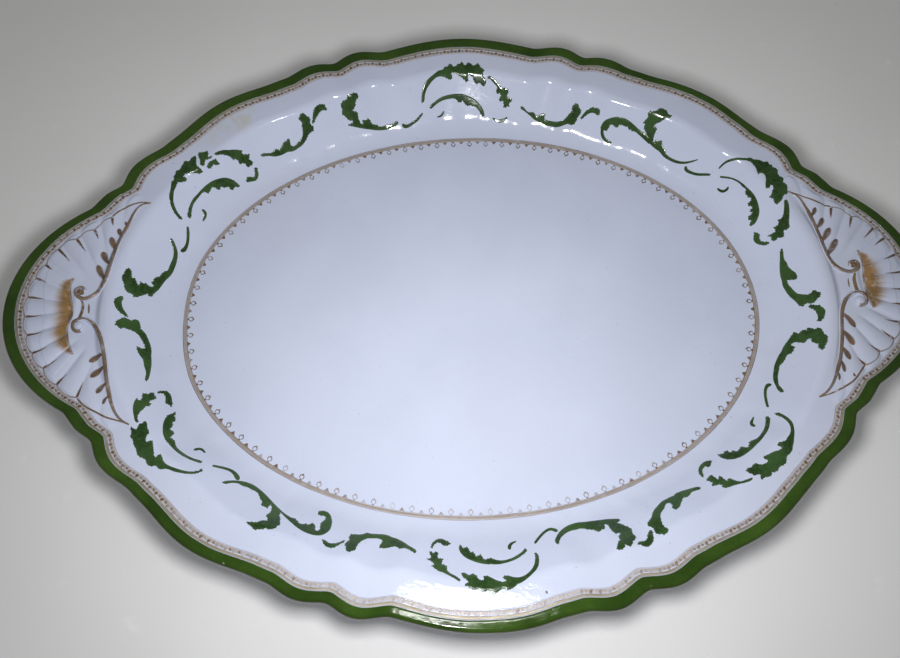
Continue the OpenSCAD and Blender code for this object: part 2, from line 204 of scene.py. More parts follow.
# ---------------------------------------------------------------------------
# Meshes
# ---------------------------------------------------------------------------
class Build:
    """Collects points and faces of one piece."""

    def __init__(self):
        self.v, self.f, self.m, self.n = [], [], [], 0
        self.a = []

    def add(self, pts, faces, mat=0, attr=None):
        pts = np.asarray(pts, float).reshape(-1, 3)
        self.v.append(pts)
        self.a.append(np.zeros(len(pts)) if attr is None else np.asarray(attr, float).ravel())
        for q in faces:
            q = np.asarray(q, int).reshape(-1, np.shape(q)[-1])
            self.f += (q + self.n).tolist()
            self.m += [mat] * len(q)
        first = self.n
        self.n += len(pts)
        return first

    def piece(self, name, node, mats, smooth_angle=None, attr=None, outward=False):
        verts = np.concatenate(self.v) * 0.001
        me = bpy.data.meshes.new(name)
        me.from_pydata(verts.tolist(), [], self.f)
        me.polygons.foreach_set("material_index", self.m)
        me.polygons.foreach_set("use_smooth", [True] * len(self.f))
        if attr:
            at = me.attributes.new(attr, "FLOAT", "POINT")
            at.data.foreach_set("value", np.concatenate(self.a).astype(np.float32))
        me.update()
        if outward:
            # every face of the closed shape looks outwards
            bm = bmesh.new()
            bm.from_mesh(me)
            bmesh.ops.recalc_face_normals(bm, faces=bm.faces)
            bm.to_mesh(me)
            bm.free()
            me.update()
        if smooth_angle:
            me.set_sharp_from_angle(angle=math.radians(smooth_angle))
        ob = bpy.data.objects.new(name, me)
        bpy.context.scene.collection.objects.link(ob)
        for m in mats:
            me.materials.append(m)
        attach(ob, "root")
        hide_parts(node)
        return ob


def grid_faces(rows, cols, wrap_cols=False, wrap_rows=False, flip=False):
    i = np.arange(rows if wrap_rows else rows - 1)
    j = np.arange(cols if wrap_cols else cols - 1)
    I, J = np.meshgrid(i, j, indexing="ij")
    I2, J2 = (I + 1) % rows, (J + 1) % cols
    q = np.stack([I * cols + J, I * cols + J2, I2 * cols + J2, I2 * cols + J], -1).reshape(-1, 4)
    return q[:, ::-1] if flip else q


def lip(t, e, z, n=13, a0=90, a1=-90, grow=0.0):
    """Round of the edge: (d, z) rows from the upper face to the underside."""
    al = np.radians(np.linspace(a0, a1, n))
    d = e[None, :] - LIP_R + (LIP_R + grow) * np.cos(al)[:, None]
    zz = z[None, :] - EDGE_T / 2 + (EDGE_T / 2 + grow) * np.sin(al)[:, None]
    return d, zz


# ---------------------------------------------------------------------------
# Materials
# ---------------------------------------------------------------------------
class Mat:
    def __init__(self, name):
        self.m = bpy.data.materials.new(name)
        self.m.use_nodes = True
        self.nt = self.m.node_tree
        self.nt.nodes.clear()
        self.out = self.node("ShaderNodeOutputMaterial")
        self.bsdf = self.node("ShaderNodeBsdfPrincipled")
        self.nt.links.new(self.bsdf.outputs[0], self.out.inputs[0])
        self.obj = self.node("ShaderNodeTexCoord").outputs["Object"]

    def node(self, kind, **kw):
        n = self.nt.nodes.new(kind)
        for k, v in kw.items():
            setattr(n, k, v)
        return n

    def link(self, a, b):
        self.nt.links.new(a, b)

    def set(self, **kw):
        for k, v in kw.items():
            self.bsdf.inputs[k.replace("_", " ")].default_value = v

    def scaled(self, sx, sy, sz, rot=0.0):
        mp = self.node("ShaderNodeMapping")
        mp.inputs["Scale"].default_value = (sx, sy, sz)
        mp.inputs["Rotation"].default_value = (0, 0, rot)
        self.link(self.obj, mp.inputs["Vector"])
        return mp.outputs[0]

    def noise(self, scale, detail=2.0, rough=0.5, vec=None, distort=0.0):
        n = self.node("ShaderNodeTexNoise")
        n.inputs["Scale"].default_value = scale
        n.inputs["Detail"].default_value = detail
        n.inputs["Roughness"].default_value = rough
        n.inputs["Distortion"].default_value = distort
        self.link(vec or self.obj, n.inputs["Vector"])
        return n.outputs["Fac"]

    def ramp(self, fac, lo, hi, a=0.0, b=1.0, kind="SMOOTHSTEP"):
        n = self.node("ShaderNodeMapRange", interpolation_type=kind)
        n.inputs["From Min"].default_value = lo
        n.inputs["From Max"].default_value = hi
        n.inputs["To Min"].default_value = a
        n.inputs["To Max"].default_value = b
        self.link(fac, n.inputs["Value"])
        return n.outputs["Result"]

    def math(self, op, a, b=None):
        n = self.node("ShaderNodeMath", operation=op)
        for s, v in zip(n.inputs, (a, b)):
            if v is None:
                continue
            if isinstance(v, (int, float)):
                s.default_value = v
            else:
                self.link(v, s)
        return n.outputs[0]

    def mix(self, fac, a, b):
        n = self.node("ShaderNodeMix", data_type="RGBA")
        if isinstance(fac, (int, float)):
            n.inputs[0].default_value = fac
        else:
            self.link(fac, n.inputs[0])
        for s, v in ((n.inputs[6], a), (n.inputs[7], b)):
            if isinstance(v, tuple):
                s.default_value = (*v, 1.0)
            else:
                self.link(v, s)
        return n.outputs[2]

    def near(self, p, r0, r1):
        """1 within r0 of point p (metres), 0 beyond r1."""
        n = self.node("ShaderNodeVectorMath", operation="DISTANCE")
        self.link(self.obj, n.inputs[0])
        n.inputs[1].default_value = p
        return self.ramp(n.outputs["Value"], r0, r1, 1.0, 0.0)

    def attr(self, name):
        n = self.node("ShaderNodeAttribute", attribute_name=name)
        return n.outputs["Fac"]

    def bump(self, *heights):
        """heights: (socket, distance in metres)."""
        last = None
        for h, dist in heights:
            b = self.node("ShaderNodeBump")
            b.inputs["Strength"].default_value = 1.0
            b.inputs["Distance"].default_value = dist
            self.link(h, b.inputs["Height"])
            if last is not None:
                self.link(last, b.inputs["Normal"])
            last = b.outputs[0]
        self.link(last, self.bsdf.inputs["Normal"])


GLAZE_A, GLAZE_B = (0.672, 0.720, 0.868), (0.628, 0.676, 0.822)


def glaze_base(m):
    """Colour of old white glaze: soft cloudy tint, fine pits, faint grey use marks."""
    cloud = m.ramp(m.noise(17, 3, 0.55), 0.32, 0.70)
    col = m.mix(cloud, GLAZE_A, GLAZE_B)
    warm = m.ramp(m.noise(9, 2, 0.5), 0.52, 0.80, 0.0, 0.30)
    col = m.mix(warm, col, (0.69, 0.71, 0.80))
    pits = m.ramp(m.noise(760, 1, 0.4), 0.765, 0.80, 0.0, 0.45)
    return m.mix(pits, col, (0.33, 0.31, 0.30))


def glaze_material():
    m = Mat("white_glaze")
    col = glaze_base(m)
    # old yellow stain on the far flange at the left
    blot = m.math("MULTIPLY", m.near((-0.113, 0.1005, 0.029), 0.003, 0.0125), m.ramp(m.noise(160, 3, 0.6), 0.30, 0.62))
    col = m.mix(m.math("MULTIPLY", blot, 0.8), col, (0.60, 0.56, 0.36))
    trail = m.math("MULTIPLY", m.near((-0.124, 0.091, 0.029), 0.002, 0.013), m.ramp(m.noise(120, 3, 0.6), 0.36, 0.66))
    col = m.mix(m.math("MULTIPLY", trail, 0.30), col, (0.62, 0.58, 0.46))
    # iron speck on the near flange
    speck = m.near((0.0235, -0.1295, 0.0292), 0.00035, 0.00085)
    col = m.mix(m.math("MULTIPLY", speck, 0.8), col, (0.13, 0.11, 0.10))
    # cutlery marks in the well, only as a change of gloss and a trace of grey
    marks = None
    for rot, sx, sy in ((0.35, 60, 900), (-0.9, 70, 1050), (1.25, 55, 980)):
        k = m.ramp(m.noise(1.0, 2, 0.6, m.scaled(sx, sy, 60, rot), 0.4), 0.735, 0.79)
        marks = k if marks is None else m.math("MAXIMUM", marks, k)
    low = m.node("ShaderNodeSeparateXYZ")
    m.link(m.obj, low.inputs[0])
    well = m.ramp(low.outputs[2], 0.0083, 0.0100, 1.0, 0.0)
    marks = m.math("MULTIPLY", marks, well)
    col = m.mix(m.math("MULTIPLY", marks, 0.16), col, (0.42, 0.42, 0.45))
    m.link(col, m.bsdf.inputs["Base Color"])
    rough = m.ramp(m.noise(55, 4, 0.6), 0.3, 0.75, 0.085, 0.15)
    rough = m.math("ADD", rough, m.math("MULTIPLY", marks, 0.22))
    m.link(rough, m.bsdf.inputs["Roughness"])
    m.set(IOR=1.52)
    m.bump((m.noise(210, 2, 0.5), 0.000085), (m.noise(430, 1, 0.5), 0.000035), (m.noise(900, 1, 0.5), 0.000006))
    return m.m


def foot_material():
    m = Mat("foot_clay")
    glaze = glaze_base(m)
    grit = m.noise(1400, 3, 0.6)
    clay = m.mix(m.ramp(grit, 0.35, 0.7), (0.60, 0.57, 0.50), (0.70, 0.67, 0.61))
    dirt = m.ramp(m.noise(120, 4, 0.65), 0.52, 0.74, 0.0, 0.6)
    clay = m.mix(dirt, clay, (0.30, 0.26, 0.21))
    low = m.node("ShaderNodeSeparateXYZ")
    m.link(m.obj, low.inputs[0])
    edge = m.math("ADD", low.outputs[2], m.math("MULTIPLY", m.ramp(m.noise(260, 2, 0.5), 0.2, 0.8, -1.0, 1.0), 0.00025))
    bare = m.ramp(edge, 0.0006, 0.0011, 1.0, 0.0)
    m.link(m.mix(bare, glaze, clay), m.bsdf.inputs["Base Color"])
    m.link(m.ramp(bare, 0, 1, 0.12, 0.85, "LINEAR"), m.bsdf.inputs["Roughness"])
    m.set(IOR=1.5)
    m.bump((m.math("MULTIPLY", grit, bare), 0.00012), (m.noise(210, 2, 0.5), 0.00004))
    return m.m


def enamel_material():
    m = Mat("green_enamel")
    brush = m.ramp(m.noise(45, 4, 0.6), 0.30, 0.72)
    col = m.mix(brush, (0.022, 0.053, 0.0035), (0.052, 0.108, 0.011))
    fine = m.ramp(m.noise(520, 3, 0.6), 0.36, 0.70, 0.0, 0.42)
    col = m.mix(fine, col, (0.031, 0.074, 0.007))
    worn = m.math("MULTIPLY", m.ramp(m.noise(330, 2, 0.5), 0.735, 0.80), m.ramp(m.noise(30, 2, 0.5), 0.50, 0.64))
    col = m.mix(m.math("MULTIPLY", worn, 0.7), col, (0.48, 0.50, 0.42))
    # brown on the outer face of the lip, below its crest: partly enamel running thin over the lip, partly painted shade
    # for the side of the lip that faces away from the light
    thin = m.attr("thin")
    col = m.mix(m.math("MULTIPLY", thin, 0.85), col, (0.050, 0.036, 0.016))
    m.link(col, m.bsdf.inputs["Base Color"])
    m.link(m.ramp(m.noise(90, 3, 0.6), 0.3, 0.7, 0.06, 0.13), m.bsdf.inputs["Roughness"])
    m.set(IOR=1.55)
    m.bump((m.noise(260, 2, 0.5), 0.00007), (m.noise(1300, 2, 0.5), 0.000012))
    return m.m


def leaf_material():
    m = Mat("leaf_print")
    broad = m.ramp(m.noise(95, 3, 0.55), 0.34, 0.68)
    col = m.mix(broad, (0.018, 0.047, 0.010), (0.048, 0.103, 0.028))
    grain = m.ramp(m.noise(900, 3, 0.6), 0.42, 0.68, 0.0, 0.5)
    col = m.mix(grain, col, (0.060, 0.117, 0.040))
    # the print is thinner at its outline
    thin = m.math("MULTIPLY", m.attr("thin"), m.ramp(m.noise(420, 2, 0.6), 0.35, 0.75, 0.15, 0.75))
    col = m.mix(thin, col, (0.115, 0.175, 0.095))
    m.link(col, m.bsdf.inputs["Base Color"])
    m.link(m.ramp(m.noise(140, 3, 0.6), 0.3, 0.7, 0.09, 0.17), m.bsdf.inputs["Roughness"])
    m.set(IOR=1.5)
    m.bump((m.noise(240, 2, 0.5), 0.00005), (m.noise(1500, 2, 0.6), 0.000012))
    return m.m


def gold_material(name, light, dark, rough0, rough1, metal, wear=0.55):
    m = Mat(name)
    tone = m.ramp(m.noise(150, 4, 0.6), 0.30, 0.72)
    col = m.mix(tone, dark, light)
    grain = m.ramp(m.noise(1700, 2, 0.6), 0.40, 0.72, 0.0, 0.35)
    col = m.mix(grain, col, (0.20, 0.125, 0.075))
    worn = m.ramp(m.math("ADD", m.noise(420, 3, 0.6), m.math("MULTIPLY", m.noise(45, 2, 0.5), 0.35)), 0.72, 0.86, 0.0, wear)
    # the thin attribute carries each piece's own rubbing; on the rim lines, lace and loops it also carries painted
    # glare along the near side
    thin = m.math("MAXIMUM", worn, m.attr("thin"))
    col = m.mix(thin, col, GLAZE_A)
    m.link(col, m.bsdf.inputs["Base Color"])
    m.link(m.ramp(thin, 0.0, 0.6, metal, 0.0), m.bsdf.inputs["Metallic"])
    m.link(m.ramp(m.noise(260, 3, 0.6), 0.3, 0.7, rough0, rough1), m.bsdf.inputs["Roughness"])
    m.bump((m.noise(600, 3, 0.6), 0.00003), (m.noise(210, 2, 0.5), 0.00005))
    return m.m


def tint_material(name, a, b, fade, metal):
    """Thin pinkish ground under the gilt lines, uneven and partly rubbed away."""
    m = Mat(name)
    tone = m.ramp(m.noise(75, 3, 0.6), 0.32, 0.70)
    col = m.mix(tone, a, b)
    rub = m.ramp(m.noise(240, 4, 0.65), 0.44, 0.74, 0.0, fade)
    rub = m.math("MAXIMUM", rub, m.attr("thin"))
    col = m.mix(rub, col, GLAZE_A)
    m.link(col, m.bsdf.inputs["Base Color"])
    m.link(m.ramp(rub, 0.0, 0.6, metal, 0.0), m.bsdf.inputs["Metallic"])
    m.link(m.ramp(m.noise(120, 3, 0.6), 0.3, 0.7, 0.36, 0.48), m.bsdf.inputs["Roughness"])
    m.bump((m.noise(210, 2, 0.5), 0.00005), (m.noise(1300, 2, 0.6), 0.00001))
    return m.m


GLAZE = glaze_material()
FOOT = foot_material()
ENAMEL = enamel_material()
LEAF = leaf_material()
GOLD = gold_material("gilding", (0.31, 0.19, 0.088), (0.16, 0.098, 0.043), 0.24, 0.42, 0.20, 0.35)
COMMA = gold_material("gilding_leaves", (0.24, 0.135, 0.062), (0.105, 0.062, 0.030), 0.24, 0.42, 0.20, 0.22)
BROWN = gold_material("gilding_lines", (0.34, 0.215, 0.115), (0.21, 0.125, 0.065), 0.26, 0.44, 0.25, 0.6)
WASH = gold_material("gilding_brushed", (0.55, 0.30, 0.09), (0.30, 0.18, 0.055), 0.26, 0.42, 0.30, 0.35)
SPOT = gold_material("gilding_dark", (0.25, 0.15, 0.095), (0.14, 0.082, 0.050), 0.24, 0.42, 0.20, 0.4)
LACE = tint_material("lace_ground", (0.43, 0.375, 0.265), (0.35, 0.30, 0.21), 0.30, 0.35)
LACE_IN = tint_material("lace_inner", (0.50, 0.425, 0.365), (0.55, 0.475, 0.42), 0.35, 0.25)
LINE = tint_material("line_ground", (0.49, 0.40, 0.32), (0.52, 0.44, 0.37), 0.28, 0.40)
LOOP = gold_material("gilding_loops", (0.36, 0.24, 0.15), (0.24, 0.15, 0.092), 0.34, 0.48, 0.50, 0.4)


# ---------------------------------------------------------------------------
# Clay
# ---------------------------------------------------------------------------
def make_body():
    N = 720
    t = np.arange(N) / N * TAU
    b = Build()
    # upper face in to the joint
    rows = [-0.985, -0.9, -0.78, -0.64, -0.5, -0.36, -0.24, -0.14]
    ds = [r_well(t) * k for k in rows]
    ds += [np.full(N, x) for x in (*np.arange(-8, -2.9, 1.0), *np.arange(-2.5, 11, 0.9), *np.arange(11.5, 20.4, 1.0), *np.arange(20.7, 28.8, 0.42), 29.0)]
    top = np.stack([point(t, d, z_top(t, d)) for d in ds])
    n_top = len(ds)
    b.add(top, [grid_faces(n_top, N, True, flip=False)])
    mid = b.add([[0, 0, FLOOR_Z + wave(np.array(0.0), np.array(-A_WELL))]], [])
    j = np.arange(N)
    b.f += np.stack([np.full(N, mid), j, (j + 1) % N], -1).tolist()
    b.m += [0] * N
    # underside in from the joint
    us = [np.full(N, x) for x in (29, 28.6, 28.2, 27.8, 27.4, 27, 25.5, 23.5, 21.5, 19, 16.5, 14.4, 12.5, 10.5, 8.5, 6.5, 4.5, 2.5, 0.5, -1, -2.5, -5, -9, -16)]
    us += [r_well(t) * k for k in (-0.3, -0.5, -0.7, -0.85, -0.985)]
    und = np.stack([point(t, d, z_under(t, d)) for d in us])
    n_u = len(us)
    u0 = b.add(und, [grid_faces(n_u, N, True)])
    mid2 = b.add([[0, 0, FLOOR_Z - WALL]], [])
    last = u0 + (n_u - 1) * N
    b.f += np.stack([np.full(N, mid2), last + (j + 1) % N, last + j], -1).tolist()
    b.m += [0] * N
    # flange sectors between the shell handles, and walls on the joints
    k_end = int(round(T_END / 360 * N))
    for side in (0, 1):
        cols = np.arange(k_end, N // 2 - k_end + 1) + side * N // 2
        tc = t[cols % N]
        e = d_edge(tc)
        fr = np.linspace(0, 1, 28)[1:]
        dt = [D_JOINT + (e - LIP_R - D_JOINT) * k for k in fr]
        d_rows, z_rows = list(dt), [z_top(tc, d) for d in dt]
        ld, lz = lip(tc, e, z_rows[-1])
        d_rows += list(ld[1:])
        z_rows += list(lz[1:])
        zu = z_rows[-1]
        for k in np.linspace(1, 0, 9)[1:-1]:
            d = D_JOINT + (e - LIP_R - D_JOINT) * k
            full = z_under(tc, d)
            d_rows.append(d)
            z_rows.append(full + (zu - z_under(tc, e - LIP_R)) * smooth(k))
        pts = np.stack([point(tc, d, z) for d, z in zip(d_rows, z_rows)])
        R, M = len(d_rows), len(cols)
        f0 = b.add(pts, [grid_faces(R, M)])
        c = cols % N
        i_top, i_und = (n_top - 1) * N + c, u0 + c
        q = np.arange(M - 1)
        b.f += np.stack([i_top[q], i_top[q + 1], f0 + q + 1, f0 + q], -1).tolist()
        b.m += [0] * (M - 1)
        lastr = f0 + (R - 1) * M
        b.f += np.stack([lastr + q, lastr + q + 1, i_und[q + 1], i_und[q]], -1).tolist()
        b.m += [0] * (M - 1)
        b.f.append([i_top[0]] + [f0 + r * M for r in range(R)] + [i_und[0]])
        b.f.append(([i_top[-1]] + [f0 + r * M + M - 1 for r in range(R)] + [i_und[-1]])[::-1])
        b.m += [0, 0]
        # wall where the next shell handle joins
        c2 = (np.arange(N // 2 - k_end, N // 2 + k_end + 1) + side * N // 2) % N
        q = np.arange(len(c2) - 1)
        a1, a2 = (n_top - 1) * N + c2, u0 + c2
        b.f += np.stack([a1[q], a1[q + 1], a2[q + 1], a2[q]], -1).tolist()
        b.m += [0] * (len(c2) - 1)
    b.f = [list(reversed(f)) for f in b.f]
    ob = b.piece("platter_dish", "dish_body", [GLAZE], smooth_angle=50, outward=True)
    return ob


def make_foot():
    N = 480
    t = np.arange(N) / N * TAU
    a1, b1, w, h = A_WELL - 8, B_WELL - 8, 5.0, FLOOR_Z - WALL
    prof = [(0.9, h + 0.35), (0.45, h - 0.05), (0.15, h - 0.5), (0, h - 1.2), (-0.05, 1.2), (-0.25, 0.55), (-0.7, 0.14), (-1.3, 0.0),
            (-2.5, 0.0), (-3.7, 0.0), (-4.3, 0.14), (-4.75, 0.55), (-4.95, 1.2), (-5.0, h - 1.2), (-5.15, h - 0.5), (-5.45, h - 0.05), (-5.9, h + 0.35)]
    pts = []
    for off, z in prof:
        wob = 0.05 * np.sin(t * 9 + off) + 0.04 * np.sin(t * 23 + 2 * off)
        x, y = (a1 + off + wob) * np.cos(t), (b1 + off + wob) * np.sin(t)
        pts.append(np.stack([x, y, np.full(N, float(z))], -1))
    b = Build()
    b.add(np.stack(pts), [grid_faces(len(prof), N, True, wrap_rows=True)])
    return b.piece("platter_foot", "foot_ring", [FOOT], smooth_angle=60, outward=True)


def make_shell(side):
    """side 0 right, 1 left."""
    step = 0.1
    deg = np.arange(-T_END, T_END + step / 2, step)
    t = np.radians(deg) + side * math.pi
    e = d_edge(t)
    M = len(t)
    fr = np.concatenate([np.linspace(0, 1, 60)[:-1] * 0.9, np.linspace(0.9, 1, 6)])
    d_rows = [D_JOINT + (e - LIP_R - D_JOINT) * k for k in fr]
    z_rows = [z_top(t, d) + shell_relief(t, d) * smooth((T_END - np.abs(deg)) / 0.6) for d in d_rows]
    n_top = len(d_rows)
    ld, lz = lip(t, e, z_rows[-1])
    d_rows += list(ld[1:])
    z_rows += list(lz[1:])
    zu = z_rows[-1]
    for k in np.linspace(1, 0, 12)[1:]:
        d = D_JOINT + (e - LIP_R - D_JOINT) * k
        d_rows.append(d)
        z_rows.append(z_under(t, d) + (zu - z_under(t, e - LIP_R)) * smooth(k))
    pts = np.stack([point(t, d, z) for d, z in zip(d_rows, z_rows)])
    R = len(d_rows)
    b = Build()
    b.add(pts, [grid_faces(R, M, wrap_rows=True)])
    b.f.append([r * M for r in range(R)])
    b.f.append([r * M + M - 1 for r in range(R)][::-1])
    b.m += [0, 0]
    b.f = [list(reversed(f)) for f in b.f]
    name = ("shell_right", "shell_left")[side]
    return b.piece(name, ("right_shell_handle", "left_shell_handle")[side], [GLAZE], smooth_angle=50)


# ---------------------------------------------------------------------------
# Strokes that lie on the glaze
# ---------------------------------------------------------------------------
def spline(s, P, S):
    """Natural cubic spline through P at s, read at S."""
    n = len(s)
    if n == 2:
        return P[0] + (P[1] - P[0]) * ((S - s[0]) / (s[1] - s[0]))[:, None]
    h = np.diff(s)
    A = np.zeros((n, n))
    B = np.zeros((n, P.shape[1]))
    A[0, 0] = A[-1, -1] = 1
    for i in range(1, n - 1):
        A[i, i - 1], A[i, i], A[i, i + 1] = h[i - 1], 2 * (h[i - 1] + h[i]), h[i]
        B[i] = 6 * ((P[i + 1] - P[i]) / h[i] - (P[i] - P[i - 1]) / h[i - 1])
    M = np.linalg.solve(A, B)
    k = np.clip(np.searchsorted(s, S, "right") - 1, 0, n - 2)
    a, c, hh = (s[k + 1] - S)[:, None], (S - s[k])[:, None], h[k][:, None]
    return (M[k] * a ** 3 + M[k + 1] * c ** 3) / (6 * hh) + (P[k] / hh - M[k] * hh / 6) * a + (P[k + 1] / hh - M[k + 1] * hh / 6) * c


ACROSS = np.array([-1.0, -0.9, -0.55, 0.0, 0.55, 0.9, 1.0])
LIFT = np.array([-0.03, 0.75, 0.95, 1.0, 0.95, 0.75, -0.03])


def stroke(b, rows, tips=(), teeth=(), lift=0.09, step=0.22, mat=0, thin_edge=1.0, thin_along=None, round_ends=True, xf=None):
    """One brush stroke or leaf. rows: (x, y, half width) or (x, y, left, right).
    tips: (x, y[, reach back along the stroke, reach forward]) ends of lobes.
    teeth: (side, from, to, number, height), side +1 left of the stroke, -1 right."""
    P = np.array([r[:2] for r in rows], float)
    hl = np.array([r[2] for r in rows], float)
    hr = np.array([r[-1] for r in rows], float)
    s = np.concatenate([[0], np.cumsum(np.hypot(*np.diff(P, axis=0).T))])
    n = max(16, int(s[-1] / step))
    S = np.linspace(0, s[-1], n)
    C = spline(s, P, S)
    T = np.gradient(C, axis=0)
    T /= np.linalg.norm(T, axis=1, keepdims=True)
    Nn = np.stack([-T[:, 1], T[:, 0]], -1)
    ker = np.hanning(9)[1:-1]
    ker /= ker.sum()

    def soft(w):
        p = np.concatenate([np.full(3, w[0]), w, np.full(3, w[-1])])
        return np.convolve(p, ker, "valid")

    H = {1: soft(np.interp(S, s, hl)), -1: soft(np.interp(S, s, hr))}
    for side, u0, u1, num, amp in teeth:
        u = (S / s[-1] - u0) / (u1 - u0) * num
        ins = (u >= 0) & (u <= num)
        fr = u - np.floor(u)
        saw = np.where(fr < 0.68, (fr / 0.68) ** 1.3, np.sqrt(np.maximum(1 - ((fr - 0.68) / 0.32) ** 2, 0)))
        fade = np.clip(np.minimum(u, num - u) * 1.2 + 0.3, 0, 1)
        H[side] = np.where(ins, H[side] - 0.35 * amp * fade + amp * saw * fade, H[side])
    for tip in tips:
        p = np.array(tip[:2], float)
        off = p - C
        cross = np.abs((off * T).sum(1)) + 0.02 * np.hypot(*off.T)
        cross = np.where(np.hypot(*off.T) < 9, cross, 99)
        i = int(np.argmin(np.hypot(*off.T)))
        near = cross < 0.25
        if near.any():
            cand = np.where(near)[0]
            i = int(cand[np.argmin(np.hypot(*off[cand].T))])
        dist = float(np.hypot(*off[i]))
        side = 1 if (off[i] * Nn[i]).sum() > 0 else -1
        back, fwd = (tip[2], tip[3]) if len(tip) > 3 else (1.1 + 0.55 * dist, 0.5 + 0.16 * dist)
        q = np.where(S < S[i], (S[i] - S) / back, (S - S[i]) / fwd)
        bump = np.where(q < 1, np.where(S < S[i], 1 - np.abs(q) ** 1.25, np.sqrt(np.maximum(1 - q * q, 0))), 0)
        H[side] = np.maximum(H[side], dist * bump)
    if round_ends:
        for side in H:
            r0, r1 = max(H[side][0], 0.15) * 1.2, max(H[side][-1], 0.15) * 1.2
            H[side] = H[side] * np.sqrt(np.clip(1 - (1 - np.clip(S / r0, 0, 1)) ** 2, 0.004, 1))
            H[side] = H[side] * np.sqrt(np.clip(1 - (1 - np.clip((s[-1] - S) / r1, 0, 1)) ** 2, 0.004, 1))
    a = ACROSS[None, :]
    off = np.where(a > 0, a * H[1][:, None], a * H[-1][:, None])
    XY = C[:, None, :] + off[..., None] * Nn[:, None, :]
    if xf is not None:
        XY = XY @ xf.T
    X, Y = XY[..., 0], XY[..., 1]
    Z = z_xy(X, Y)
    nrm = surface_normal(X, Y)
    up = np.stack([X, Y, Z], -1) + nrm * (LIFT * lift)[None, :, None]
    dn = np.stack([X, Y, Z], -1)[:, 1:-1] - nrm[:, 1:-1] * 0.07
    ring = np.concatenate([up, dn[:, ::-1]], 1)
    m = ring.shape[1]
    thin = np.zeros((n, m))
    thin[:, 0] = thin[:, len(ACROSS) - 1] = thin_edge
    thin[:, 1] = thin[:, len(ACROSS) - 2] = 0.45 * thin_edge
    if thin_along is not None:
        thin = np.maximum(thin, thin_along(S / s[-1])[:, None])
    faces = grid_faces(n, m, wrap_cols=True)
    if xf is not None and np.linalg.det(xf) < 0:
        faces = faces[:, ::-1]
    # the pieces are wound so that the outer side faces up
    first = b.add(ring, [faces[:, ::-1]], mat, thin)
    cap = [first + k for k in range(m)]
    end = [first + (n - 1) * m + k for k in range(m)]
    flip = xf is not None and np.linalg.det(xf) < 0
    b.f.append(cap[::-1] if flip else cap)
    b.f.append(end if flip else end[::-1])
    b.m += [mat, mat]


